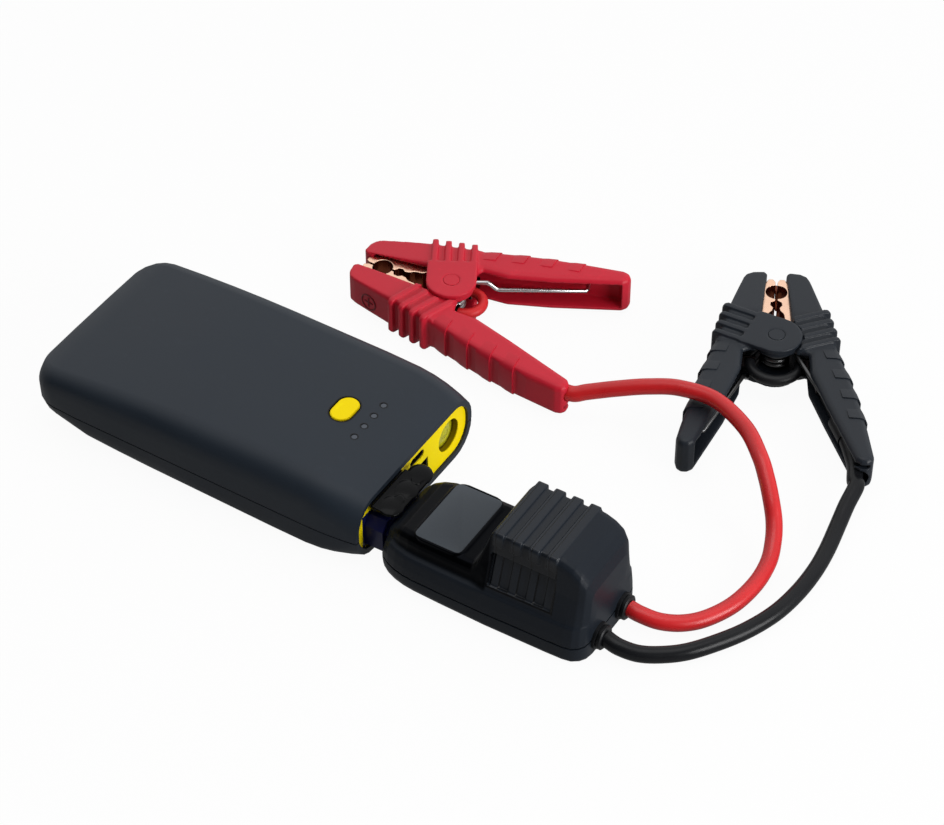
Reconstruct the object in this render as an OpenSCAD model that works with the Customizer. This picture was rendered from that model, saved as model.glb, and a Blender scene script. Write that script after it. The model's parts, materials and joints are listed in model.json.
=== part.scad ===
// Pocket jump starter: a battery pack, a control module plugged into it, and two battery clamps.
// Millimetres. +X runs from the pack's closed end to its socket end, +Z is up, and the origin is
// the middle of the pack's underside, on the surface that everything lies on.

/* [Pack] */
// Length of the pack
pack_l = 147.8; // [144:0.2:152]
// Width at the middle of the pack
pack_w = 83.2; // [82:0.2:86]
// Width of the rim at the socket end
pack_end_w = 79.4; // [79:0.2:81]
// Width at the closed end, before its corners
pack_tail_w = 82.8; // [81:0.2:85]
// Length over which the socket end draws in
end_taper_l = 22; // [16:1:30]
// Height at the middle of the pack
pack_h = 31.8; // [31:0.2:33]
// Height of the rim at the socket end
pack_end_h = 26.2; // [26:0.1:27]
// Height at the closed end, before its rounding
pack_tail_h = 27.6; // [27.4:0.2:30]
// Corner radius of the closed end, seen from above
tail_round = 11; // [9:0.5:14]
// Height that the closed end loses in its rounding
tail_drop = 11.2; // [9:0.2:12]
// Rise of the underside towards the closed end
keel_rise = 2.4; // [1.6:0.2:2.6]
// Radius of the long upper edges, at the middle
top_edge_r = 10.4; // [9:0.2:11]
// Radius of the long lower edges, at the middle
low_edge_r = 4.8; // [4:0.2:6]
// Amount that the lower side edges draw in at the closed end
tail_tuck = 3.2; // [0:0.2:3.4]
// Radius of the lower edges at the closed end
tail_edge_r = 12; // [10:0.2:12.4]
// Radius of the outer edges at the socket end
end_edge_r = 11.6; // [11:0.2:12.2]
// Wall of the moulded shells
shell_t = 2.2; // [1.8:0.1:2.3]
// Height of the seam between the two shells at the socket end
seam_z = 11.5; // [10.5:0.1:12.5]
// Rise of the seam towards the closed end
seam_rise = 3; // [1:0.2:4]
// Height and depth of the shadow line along the seams
seam_line = 0.5; // [0.3:0.1:0.7]

/* [End panel] */
// Width of the coloured panel
panel_w = 74.6; // [73.6:0.2:75]
// Height of the panel
panel_h = 21.6; // [21:0.1:21.8]
// Height of the panel's lower edge
panel_z = 2.7; // [2.6:0.1:2.8]
// Sideways place of the panel's middle
panel_y = -0.4; // [-0.8:0.1:0.2]
// Thickness of the panel
panel_t = 2.6; // [2:0.2:3.2]
// Depth of the panel's face behind the rim
panel_recess = 1; // [0.6:0.1:1.6]
// Diameter of the torch
torch_d = 13.4; // [12:0.2:14]
// Sideways place of the torch
torch_y = 24.8; // [24:0.2:25.4]
// Height of the torch's middle
torch_z = 13.7; // [13.1:0.2:14.3]
// Sideways place of the small port
usb_c_y = 3; // [2.4:0.1:3.6]
// Height of the small port's middle
usb_c_z = 19.4; // [19:0.1:20]
// Sideways place of the large port
usb_a_y = 3.4; // [3.2:0.1:4]
// Height of the large port's middle
usb_a_z = 11.4; // [11:0.1:12]

/* [Jump socket and plug] */
// Sideways place of the socket, the plug and the module
lead_y = -19.3; // [-20:0.1:-19.2]
// Height of the socket's middle
plug_z = 11.7; // [11.5:0.1:12]
// Width of the plug
plug_w = 26.4; // [26:0.1:26.6]
// Height of the plug
plug_h = 12.8; // [12:0.2:13.4]
// Depth that the plug goes into the socket
plug_in = 16; // [12:0.5:18]
// Clearance round the plug in its socket
plug_gap = 0.2; // [0.15:0.05:0.4]
// Spacing of the two contacts
pin_pitch = 12; // [11:0.2:13]
// Diameter of a contact pin
pin_d = 5; // [4:0.2:5.4]
// Radial clearance of a pin in its sleeve
pin_gap = 0.05; // [0.02:0.01:0.1]

/* [Socket flap] */
// Width of the rubber flap
flap_w = 28; // [26:0.5:30]
// Length of the flap from its fold
flap_l = 9.2; // [8:0.1:9.3]
// Thickness of the flap
flap_t = 1.6; // [1.2:0.1:1.8]
// Angle that the opened flap hangs below level
flap_droop = 8; // [5:0.5:9]
// Height of the flap's fold
flap_z = 23; // [22.9:0.1:23.1]
// Width of the flap's strap at the fold
strap_w = 22; // [18:0.5:24]

/* [Power button and charge lights] */
// Length of the oval button, across the pack
button_l = 13.2; // [12:0.2:15]
// Width of the button, along the pack
button_w = 8.7; // [8:0.1:10]
// Distance of the button's middle from the socket end
button_back = 30.9; // [30.7:0.2:33]
// Sideways place of the button and the lights
control_y = 0.5; // [-1:0.5:1]
// Gap round the button
button_gap = 0.4; // [0.3:0.05:0.6]
// Height that the button stands above the shell
button_proud = 0.15; // [0.1:0.05:0.6]
// Travel of the button
button_travel = 0.6; // [0.4:0.1:0.8]
// Distance of the row of lights from the socket end
led_back = 20.2; // [19.8:0.2:22]
// Spacing of the lights
led_pitch = 6.6; // [5:0.1:7]
// Diameter of a light
led_d = 2.2; // [1.6:0.1:2.6]

/* [Control module] */
// Length of the module
module_l = 87.4; // [86:0.2:90]
// Width of the module at its middle
module_w = 44.6; // [44:0.2:46]
// Amount that the module narrows towards its ends, each side
module_bow = 1; // [0.6:0.1:1.4]
// Gap between the pack's rim and the module
module_gap = 7; // [6.8:0.1:7.6]
// Length of the rounding at the module's front, seen from above
nose_l = 18; // [15:0.5:20]
// Amount that the front rounding draws in, each side
nose_in = 8.4; // [7:0.2:9]
// Corner radius at the module's rear, seen from above
module_corner = 6.6; // [5:0.2:8]
// Height of the module's seam
module_seam = 7.8; // [7.4:0.2:9]
// Height of the shoulder that runs round the module
shoulder_z = 17; // [16:0.2:18]
// Height of the window platform
platform_z = 23.8; // [23.4:0.1:24.4]
// Height of the ribbed block
block_z = 43; // [41:0.2:44]
// Length of the block's rear rounding, seen from the side
block_rear_l = 22; // [20:0.5:24]
// Width of the block at its top
block_w = 32; // [31:0.2:33]
// Wall of the module's housings
module_t = 2.2; // [1.8:0.1:2.4]
// Length of the display window, across the module
window_w = 29.8; // [28:0.2:30.4]
// Width of the window, along the module
window_l = 18.2; // [17:0.2:19]
// Number of raised bars on the block
bar_count = 4; // [3:1:4]
// Spacing of the bars
bar_pitch = 7.2; // [7:0.1:7.3]
// Width of a bar
bar_w = 4; // [3.4:0.1:4.6]

/* [Clamps] */
// Thickness of a clamp over its cheeks
clamp_t = 19; // [18:0.2:20]
// Thickness of a cheek
cheek_t = 2; // [1.6:0.1:2.4]
// Radius of a cheek round the pivot
cheek_r = 10; // [9:0.2:10.4]
// Running gap between the halves, along the pivot
side_gap = 0.15; // [0.1:0.05:0.3]
// Wall of the handles
clamp_wall = 2.2; // [1.8:0.1:2.4]
// Thickness of the jaws at their tips
jaw_tip_t = 12.4; // [12:0.2:13]
// Length of the jaws from the pivot
jaw_l = 41; // [40:0.5:42]
// Length of the free handle from the pivot
free_l = 62.5; // [60:0.5:65]
// Length of the handle that holds the cable
held_l = 66; // [65:1:70]
// Diameter of the pivot pin
pivot_d = 5; // [4:0.2:5.4]
// Radial clearance of the pivot pin in the free half
pivot_gap = 0.05; // [0.02:0.01:0.1]
// Thickness of the copper in the jaws
copper_t = 1.2; // [0.8:0.1:1.4]
// Diameter of the spring wire
spring_d = 1.8; // [1.4:0.1:1.9]
// Radius of the spring's curls
spring_r = 5; // [4.6:0.1:5.2]
// Rise of the spring in one curl
spring_pitch = 2.3; // [2.25:0.05:2.4]

/* [Cables] */
// Diameter of the two cables
cable_d = 6.3; // [6:0.1:6.4]
// Diameter of a gland on the module
gland_d = 10.4; // [9.6:0.2:11]
// Length of a gland outside the module
gland_l = 3.2; // [2.6:0.2:4]
// Spacing of the two glands
gland_pitch = 17; // [16:0.2:18]
// Height of the glands
gland_z = 6.4; // [6.2:0.1:7]

/* [Hidden] */
$fn = 48;

charcoal = [0.17, 0.19, 0.22];
deep_black = [0.08, 0.08, 0.09];
signal_yellow = [1, 0.84, 0.02];
navy = [0.05, 0.11, 0.42];
clamp_red = [0.77, 0.12, 0.19];
wire_red = [0.86, 0.2, 0.2];
steel = [0.75, 0.76, 0.78];
copper = [0.91, 0.66, 0.5];
brass = [0.83, 0.69, 0.35];
board_green = [0.08, 0.34, 0.2];
far = 200;
eps = 0.01;
seat = 0.1;

// ---------------------------------------------------------------- shared shapes

// Share of a quarter-round's radius that is lost at distance d inside its end
function round_off(d, r) = let (k = max(0, min(1, (r - d) / r))) 1 - sqrt(1 - k * k);

// Arc of n steps about c, from angle a0 to a1
function arc(c, r, a0, a1, n = 6) =
    [for (i = [0:n]) let (a = a0 + (a1 - a0) * i / n) c + r * [cos(a), sin(a)]];

// Rounded rectangle, centred, counter-clockwise
function round_rect(w, h, r, n = 6) = concat(
    arc([w / 2 - r, r - h / 2], r, -90, 0, n), arc([w / 2 - r, h / 2 - r], r, 0, 90, n),
    arc([r - w / 2, h / 2 - r], r, 90, 180, n), arc([r - w / 2, r - h / 2], r, 180, 270, n));

// Outline moved inwards by d; its points run counter-clockwise
function inset(pts, d) = [for (i = [0:len(pts) - 1])
    let (n = len(pts), a = pts[(i + n - 1) % n], b = pts[i], c = pts[(i + 1) % n],
         e = (b - a) / norm(b - a), f = (c - b) / norm(c - b),
         g = [-e[1], e[0]], h = [-f[1], f[0]])
    b + d * (g + h) / (1 + g * h)];

// Closed skin through rings of points, each counter-clockwise seen from the far end
module loft(rings) {
    n = len(rings[0]);
    last = (len(rings) - 1) * n;
    sides = [for (i = [0:len(rings) - 2], j = [0:n - 1])
        let (a = i * n + j, b = i * n + (j + 1) % n)
        each [[a, b + n, b], [a, a + n, b + n]]];
    near_cap = [for (j = [1:n - 2]) [0, j, j + 1]];
    far_cap = [for (j = [1:n - 2]) [last, last + j + 1, last + j]];
    polyhedron([for (r = rings) each r], concat(sides, near_cap, far_cap));
}

// Plate with rounded edges: a convex outline, from z0 to z1, edge radius r
module soft_plate(pts, z0, z1, r) {
    hull() for (k = [0:3]) {
        cut = r * (1 - sin(30 * k));
        drop = r * (1 - cos(30 * k));
        translate([0, 0, z0 + drop]) linear_extrude(eps) polygon(inset(pts, cut));
        translate([0, 0, z1 - drop - eps]) linear_extrude(eps) polygon(inset(pts, cut));
    }
}

// Slab with an outline in the YZ plane, from x0 to x1
module along_x(x0, x1) {
    translate([x0, 0, 0]) rotate([90, 0, 90]) linear_extrude(x1 - x0) children();
}

// Slab with an outline in the XZ plane, centred on y = 0
module along_y(w) {
    translate([0, w / 2, 0]) rotate([90, 0, 0]) linear_extrude(w) children();
}

module oval(l, w) {
    translate([0, (l - w) / 2]) circle(d = w);
    translate([0, (w - l) / 2]) circle(d = w);
    square([w, l - w], center = true);
}

// Ring of a tube: centre p, direction t, radius r
function tube_ring(p, t, r, sides) =
    let (d = t / norm(t), a = cross([0, 0, 1], d), s = a / norm(a), u = cross(d, s))
    [for (i = [0:sides - 1]) let (q = 360 * i / sides) p + r * (cos(q) * s + sin(q) * u)];

// Smooth curve through hand-placed points, with k steps between two of them
function blend(a, b, c, d, t) = 0.5 * ((2 * b) + (c - a) * t + (2 * a - 5 * b + 4 * c - d) * t * t
    + (3 * b - a - 3 * c + d) * t * t * t);
function smooth(p, k) = let (n = len(p)) concat(
    [for (i = [0:n - 2], j = [0:k - 1])
        blend(p[max(0, i - 1)], p[i], p[i + 1], p[min(n - 1, i + 2)], j / k)],
    [p[n - 1]]);

module tube(path, d, sides) {
    n = len(path);
    loft([for (i = [0:n - 1])
        tube_ring(path[i], path[min(n - 1, i + 1)] - path[max(0, i - 1)], d / 2, sides)]);
}

// ---------------------------------------------------------------- pack: shells

half_l = pack_l / 2;
end_x = half_l - panel_recess;
keel_start = 15;
crown = 0.5;
low_share = 0.8;
low_fade_x = 45;
top_fade_x = 20;
tail_top_r = 6.4;
tuck_start = 24;
tuck_l = 14;
button_x = half_l - button_back;
led_x = half_l - led_back;

// Share of the way into the stretch that draws in at the socket end
function end_share(x) = pow(max(0, x - half_l + end_taper_l) / end_taper_l, 2);
function tail_share(x, from) = max(0, from - x) / (from + half_l);
function pack_half_w(x) =
    pack_w / 2 - (pack_w - pack_tail_w) / 2 * pow(max(-x, 0) / half_l, 2)
    - (pack_w - pack_end_w) / 2 * end_share(x) - tail_round * round_off(x + half_l, tail_round);
function pack_top(x) =
    pack_h - (pack_h - pack_end_h) * pow(max(x, 0) / half_l, 5)
    - (pack_h - pack_tail_h) * pow(max(-x, 0) / half_l, 2)
    - (1 - low_share) * tail_drop * round_off(x + half_l, tail_round);
function pack_low(x) =
    keel_rise * pow(max(0, -x - keel_start) / (half_l - keel_start), 2)
    + low_share * tail_drop * round_off(x + half_l, tail_round);
function seam_at(x) = seam_z + seam_rise * (half_l - x) / pack_l;
function tuck_at(x) = tail_tuck * ease((tuck_start - half_l - x) / tuck_l);
function ease(t) = let (k = max(0, min(1, t))) k * k * (3 - 2 * k);

// Outline of the pack at x, drawn in by d
function pack_ring(x, d) =
    let (w = pack_half_w(x) - d, top = pack_top(x) - d, low = pack_low(x) + d, h = top - low,
         top_r = top_edge_r + (tail_top_r - top_edge_r) * tail_share(x, top_fade_x)
            + (end_edge_r - top_edge_r) * end_share(x),
         low_r = low_edge_r + (tail_edge_r - low_edge_r) * tail_share(x, low_fade_x)
            + (end_edge_r - low_edge_r) * end_share(x),
         rt = min(top_r - d / 2, h * 0.5), rb = min(low_r - d / 2, h * 0.48), mid = (top + low) / 2,
         flat = concat(
            arc([w - rb, low + rb], rb, -90, 0, 5), arc([w - rt, top - rt], rt, 0, 90, 6),
            [[w / 3, top], [-w / 3, top]],
            arc([rt - w, top - rt], rt, 90, 180, 6), arc([rb - w, low + rb], rb, 180, 270, 5)))
    [for (p = flat) [x * (1 - 2 * d / pack_l), p[0] * (1 - tuck_at(x) / w * max(0, (mid - p[1]) / (mid - low))),
        p[1] + (p[1] > mid ? crown * (1 - pow(p[0] / w, 2)) : 0)]];

tail_stations = [for (a = [0:18:72]) -half_l + tail_round * (1 - cos(a))];
body_step = (pack_l - tail_round - end_taper_l) / 8;
body_stations = [for (i = [0:8]) -half_l + tail_round + i * body_step];
end_stations = [for (k = [0.3, 0.55, 0.8, 1]) half_l - end_taper_l * (1 - k)];

module pack_skin(d = 0) {
    loft([for (x = concat(tail_stations, body_stations, end_stations)) pack_ring(x, d)]);
}

// Everything up to the sloping seam, lowered by d
module below_seam(d = 0) {
    along_y(far) polygon([[-far, -1], [far, -1], [far, seam_at(half_l) - d], [half_l, seam_at(half_l) - d],
        [-half_l, seam_at(-half_l) - d], [-far, seam_at(-half_l) - d]]);
}

panel_r = 9.6;
cavity_end = end_x - panel_t;
cavity_start = tail_round * 0.55 - half_l;
cavity_half_w = pack_end_w / 2 - shell_t - 0.6;
floor_z = keel_rise * 0.7 + shell_t;
low_ceiling = pack_end_h - shell_t;
ceiling = pack_h - 4;
high_room_x = [18.9 - half_l, half_l - 17.9];
high_room_half_w = 32;

module panel_outline(grow) {
    translate([panel_y, panel_z + panel_h / 2])
        polygon(round_rect(panel_w + 2 * grow, panel_h + 2 * grow, panel_r + grow, 8));
}

// Room inside the shells, lower over its ends and sides than over its middle
module pack_room() {
    along_x(cavity_start, cavity_end) translate([0, (floor_z + low_ceiling) / 2])
        polygon(round_rect(2 * cavity_half_w, low_ceiling - floor_z, top_edge_r - shell_t / 2));
    along_x(high_room_x[0], high_room_x[1]) translate([0, (floor_z + ceiling) / 2])
        polygon(round_rect(2 * high_room_half_w, ceiling - floor_z, 3));
}

boss_d = 6;
boss_places = [for (p = [[13.9 - half_l, 28], [half_l - 25.9, 33]], s = [-1, 1]) [p[0], s * p[1]]];
screw_d = 2.4;
screw_head_d = 4.6;
screw_head_t = 1.4;
screw_sink = 1.6;
thread_l = 8;
screw_l = 16;

module pack_lower_shell() {
    color(charcoal) difference() {
        union() {
            difference() {
                intersection() {
                    pack_skin();
                    below_seam();
                }
                pack_room();
                along_x(cavity_end - 1, far) panel_outline(0.15);
                difference() {
                    below_seam(-1);
                    below_seam(seam_line);
                    pack_skin(seam_line);
                }
            }
            for (p = boss_places) translate([p[0], p[1], pack_low(p[0]) + 1])
                cylinder(d = boss_d, h = seam_at(p[0]) - pack_low(p[0]) - 1);
        }
        for (p = boss_places) translate([p[0], p[1], -1]) {
            cylinder(d = screw_d + 0.4, h = far);
            cylinder(d = screw_head_d + 0.4, h = 1 + pack_low(p[0]) + screw_sink + screw_head_t);
        }
        translate([socket_back - seat, lead_y - socket_w / 2 - seat, plug_z - socket_h / 2 - seat])
            cube([pack_l, socket_w + 2 * seat, socket_h]);
    }
}

module pack_upper_shell() {
    color(charcoal) difference() {
        union() {
            difference() {
                pack_skin();
                below_seam();
                pack_room();
                along_x(cavity_end - 1, far) panel_outline(0.15);
            }
            for (p = boss_places) translate([p[0], p[1], seam_at(p[0])])
                cylinder(d = boss_d, h = pack_top(p[0]) - 3 - seam_at(p[0]));
        }
        translate([button_x, control_y, low_ceiling]) linear_extrude(far)
            oval(button_l + 2 * button_gap, button_w + 2 * button_gap);
        for (i = [0:3]) translate([led_x, led_pitch * (i - 1.5) + control_y, low_ceiling])
            cylinder(d = led_d + 0.3, h = far, $fn = 24);
        for (p = boss_places) translate([p[0], p[1], 0])
            cylinder(d = screw_d - 0.2, h = seam_at(p[0]) + thread_l, $fn = 24);
    }
}

module screw(l) {
    cylinder(d = screw_head_d, h = screw_head_t, $fn = 24);
    cylinder(d = screw_d - 0.4, h = l, $fn = 24);
}

module pack_screws() {
    color(steel) for (p = boss_places)
        translate([p[0], p[1], pack_low(p[0]) + screw_sink]) screw(screw_l);
}

// ---------------------------------------------------------------- pack: inside

cell_w = 62;
cell_t = 6.4;
cell_count = 3;
cell_x = 19.9 - half_l;
switch_room = 13;
cell_l = button_x - switch_room - cell_x;
pad_t = 1.2;
pad_l = 18;
pad_w = 54;
cell_gap = 0.4;
cell_z = floor_z + pad_t;
cell_step = cell_t + cell_gap;
cells_top = cell_z + cell_count * cell_step - cell_gap;
tab_l = 4;
tab_w = 48;

module battery_cells() {
    color("silver") for (i = [0:cell_count - 1]) translate([cell_x, 0, cell_z + i * cell_step]) {
        translate([0, -cell_w / 2, 0]) cube([cell_l, cell_w, cell_t]);
        translate([cell_l, -tab_w / 2, (cell_t - cell_gap) / 2]) cube([tab_l, tab_w, cell_gap]);
    }
}

// Foam strips under, between and over the cells
module cell_pads() {
    color([0.3, 0.3, 0.3]) for (x = [cell_x + 6, cell_x + cell_l - pad_l - 6]) translate([x, -pad_w / 2, 0]) {
        translate([0, 0, cell_z - pad_t]) cube([pad_l, pad_w, pad_t]);
        translate([0, 0, cells_top]) cube([pad_l, pad_w, ceiling - cells_top]);
        for (i = [1:cell_count - 1])
            translate([0, 0, cell_z + i * cell_step - cell_gap]) cube([pad_l, pad_w, cell_gap]);
    }
}

board_t = 1.6;
board_x = cavity_end - 8;
board_w = 66;
board_z = floor_z;
board_h = low_ceiling - floor_z;

module main_board() {
    color(board_green) difference() {
        along_x(board_x - board_t, board_x) translate([0, board_z + board_h / 2])
            polygon(round_rect(board_w, board_h, 6));
        translate([0, lead_y - socket_w / 2 - seat, plug_z - socket_h / 2 - seat])
            cube([far, socket_w + 2 * seat, socket_h + 2 * seat]);
    }
}

button_board_z = 23.6;
flange_t = 1;
flange_out = 1;
flange_gap = 0.1;
flange_low = ceiling - flange_gap - flange_t;
switch_w = 6;
switch_h = flange_low - button_travel - flange_gap / 2 - button_board_z;

button_board_w = 28;
post_l = 5;
post_w = 4;

// Board under the button and the lights, on its post
module button_board() {
    x0 = cell_x + cell_l + tab_l + cell_gap;
    z0 = button_board_z - board_t;
    color(board_green) translate([x0, 0, 0]) {
        translate([0, -button_board_w / 2, z0]) cube([high_room_x[1] - x0, button_board_w, board_t]);
        translate([2, -post_w / 2, floor_z]) cube([post_l, post_w, z0 - floor_z]);
    }
}

module button_switch() {
    color(deep_black) translate([button_x, control_y, button_board_z]) {
        translate([-switch_w / 2, -switch_w / 2, 0]) cube([switch_w, switch_w, switch_h - 0.6]);
        cylinder(d = switch_w / 2, h = switch_h, $fn = 24);
    }
}

button_top = pack_top(button_x) + crown + button_proud;
cap_edge = 0.5;

// Oval cap with a rounded edge, kept in by a flange under the shell
module power_button() {
    color(signal_yellow) translate([button_x, control_y, 0]) {
        translate([0, 0, flange_low]) linear_extrude(flange_t)
            oval(button_l + 2 * flange_out, button_w + 2 * flange_out);
        translate([0, 0, flange_low]) linear_extrude(button_top - cap_edge - flange_low) oval(button_l, button_w);
        for (k = [1:3]) translate([0, 0, button_top - cap_edge])
            linear_extrude(cap_edge * sin(30 * k))
                oval(button_l - 2 * cap_edge * (1 - cos(30 * k)), button_w - 2 * cap_edge * (1 - cos(30 * k)));
    }
}

module charge_leds() {
    color("lightgrey") for (i = [0:3])
        translate([led_x, led_pitch * (i - 1.5) + control_y, button_board_z])
            cylinder(d = led_d, h = pack_top(led_x) + crown - 0.2 - button_board_z, $fn = 24);
}

// ---------------------------------------------------------------- pack: end panel and its ports

usb_c_w = 9;
usb_c_h = 3.2;
usb_a_w = 13.6;
usb_a_h = 6;
socket_wall = 1.2;
socket_w = plug_w + 2 * plug_gap + 2 * socket_wall;
socket_h = plug_h + 2 * plug_gap + 2 * socket_wall;
anchor_w = strap_w - 1;
anchor_t = 1.4;

// Outline of the plug: flat below, both upper corners cut back
function plug_outline(grow) =
    let (w = plug_w / 2 + grow, h = plug_h / 2 + grow, c = 3.4)
    [[-w, -h], [w, -h], [w, h - c], [w - c, h], [c - w, h], [-w, h - c]];

module end_panel() {
    color(signal_yellow) difference() {
        along_x(cavity_end, end_x) panel_outline(0);
        along_x(0, far) {
            translate([torch_y, torch_z]) circle(d = torch_d + 0.2);
            translate([usb_c_y, usb_c_z]) rotate(90) oval(usb_c_w + 0.5, usb_c_h + 0.5);
            translate([usb_a_y, usb_a_z]) square([usb_a_w + 0.4, usb_a_h + 0.4], center = true);
            translate([lead_y, plug_z]) square([socket_w + 0.2, socket_h + 0.2], center = true);
            translate([lead_y, flap_z]) square([anchor_w + 0.2, anchor_t + 0.2], center = true);
        }
    }
}

torch_depth = 7;
torch_wall = 0.8;
lens_t = 2.1;

// Curve of the reflector's cup, with its radius grown by w
function cup(w, angles) = [for (a = angles) [1.9 + w + (torch_d / 2 - 2.7) * sin(a), torch_depth * cos(a)]];

module torch_reflector() {
    color("silver") translate([end_x - lens_t - seat, torch_y, torch_z]) rotate([0, -90, 0]) rotate_extrude()
        polygon(concat(cup(torch_wall, [90:-18:0]), cup(0, [0:18:90])));
}

module torch_lens() {
    r = torch_d / 2;
    color([0.9, 0.95, 0.4, 0.6]) translate([end_x - lens_t, torch_y, torch_z]) rotate([0, 90, 0])
        rotate_extrude() polygon([[0, 0], [r, 0], [r, lens_t], [r - 1.2, lens_t], [r - 1.8, 1.2],
            [2.6, 1.2], [1.4, 1.7], [0, 1.9]]);
}

module torch_led() {
    color("ivory") translate([board_x, torch_y, torch_z]) rotate([0, 90, 0]) {
        cylinder(d = 3, h = 0.6, $fn = 24);
        cylinder(d = 2, h = 1.2, $fn = 24);
    }
}

module usb_c_socket() {
    color("silver") translate([0, usb_c_y, usb_c_z]) difference() {
        along_x(board_x, end_x - 0.3) rotate(90) oval(usb_c_w, usb_c_h);
        along_x(board_x + 2, far) rotate(90) oval(usb_c_w - 0.6, usb_c_h - 0.6);
    }
    color(deep_black) translate([0, usb_c_y, usb_c_z])
        along_x(board_x + 1, end_x - 1.2) square([6.6, 0.7], center = true);
}

// Metal shell with its tongue, mouth towards +X
module usb_a_socket() {
    color("silver") translate([0, usb_a_y, usb_a_z]) difference() {
        along_x(board_x, end_x - 0.3) square([usb_a_w, usb_a_h], center = true);
        along_x(board_x + 2, far) square([usb_a_w - 0.8, usb_a_h - 0.8], center = true);
    }
    color(deep_black) translate([0, usb_a_y, usb_a_z]) along_x(board_x + 1, end_x - 1.5)
        translate([0, 1]) square([usb_a_w - 2.2, 1.9], center = true);
}

pocket_end = end_x - 0.2 - plug_in;
socket_back = pocket_end - 2.4;

module jump_socket() {
    color(navy) difference() {
        along_x(socket_back, end_x - 0.2) translate([lead_y, plug_z])
            square([socket_w, socket_h], center = true);
        along_x(pocket_end, far) translate([lead_y, plug_z]) polygon(plug_outline(plug_gap));
        for (s = [-1, 1]) translate([socket_back - 1, lead_y + s * pin_pitch / 2, plug_z])
            rotate([0, 90, 0]) cylinder(d = pin_d, h = 6);
    }
}

pin_out = 11;

module jump_socket_pins() {
    color(brass) for (s = [-1, 1]) translate([socket_back - 1.5, lead_y + s * pin_pitch / 2, plug_z])
        rotate([0, 90, 0]) {
            cylinder(d = pin_d, h = pin_out + 1.5 + 2.4 - 1);
            translate([0, 0, pin_out + 2.9]) cylinder(r1 = pin_d / 2, r2 = pin_d / 2 - 1, h = 1);
        }
}

module bus_bars() {
    x0 = cell_x + cell_l + tab_l;
    color(copper) for (s = [-1, 1])
        translate([x0, lead_y + s * pin_pitch / 2 - 3.5, plug_z - 6])
            cube([socket_back - 1.5 - x0, 7, 12]);
}

// ---------------------------------------------------------------- socket flap

fold_x = half_l + 1.3;
bead_d = 2.2;
bead_gap = 0.1;
bead_over = 0.4;
flap_shift = 3.4;
flap_r = 3.6;

// Rubber strap held in the panel, with a rounded seat for the flap's fold
module flap_anchor() {
    color(deep_black) difference() {
        union() {
            translate([cavity_end - 1.6, lead_y - anchor_w / 2, flap_z - anchor_t / 2])
                cube([fold_x - 0.3 - cavity_end + 1.6, anchor_w, anchor_t]);
            translate([cavity_end - 1.6, lead_y - anchor_w / 2 - 0.7, flap_z - 1.2])
                cube([1.5, anchor_w + 1.4, 1.7]);
        }
        translate([fold_x, lead_y - far / 2, flap_z]) rotate([-90, 0, 0])
            cylinder(d = bead_d + 2 * bead_gap, h = far);
    }
}

// Rubber cover of the jump socket, folded open over the plug, with two finger rests
module socket_flap() {
    color(deep_black) translate([fold_x, lead_y, flap_z]) {
        translate([0, -strap_w / 2 - bead_over, 0]) rotate([-90, 0, 0]) cylinder(d = bead_d, h = strap_w + 2 * bead_over);
        rotate([0, flap_droop, 0]) {
            translate([0, -strap_w / 2, -flap_t / 2]) cube([flap_l / 2, strap_w, flap_t]);
            translate([flap_l / 2 + 0.9, flap_shift, -flap_t / 2]) linear_extrude(flap_t)
                polygon(round_rect(flap_l - 1.8, flap_w, flap_r));
            for (y = [-7, 7]) translate([flap_l - 3.4, flap_shift + y, 0])
                linear_extrude(flap_t / 2 + 0.5) polygon(round_rect(3.6, 6, 1.6, 4));
        }
    }
}

// ---------------------------------------------------------------- control module

module_x = half_l + module_gap;
platform_end = 40;
block_start = 48.2;
nose_r = 14;
nose_drop = 12;
rear_drop = 23;
rear_power = 3.2;
bar_first = block_start;
bars_end = bar_first + (bar_count - 1) * bar_pitch + bar_w;
bar_over = 0.8;
platform_over = 2.2;

function block_share(u) = ease((u - platform_end) / (block_start - platform_end));

function module_half_w(u) = let (t = 2 * u / module_l - 1)
    module_w / 2 - module_bow * t * t - nose_in * round_off(u, nose_l)
    - module_corner * round_off(module_l - u, module_corner);
function module_top(u) =
    let (k = max(0, min(1, (block_rear_l - module_l + u) / block_rear_l)))
    platform_z - nose_drop * round_off(u, nose_r) + (block_z - platform_z) * block_share(u)
    - rear_drop * (1 - pow(1 - pow(k, rear_power), 1 / rear_power));
function upper_half_w(u) =
    block_w / 2 + platform_over * (1 - block_share(u)) - (u < bars_end ? bar_over * block_share(u) : 0);
function bottom_r(u) = 4.8 - 2.2 * min(1, u / 60);

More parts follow.
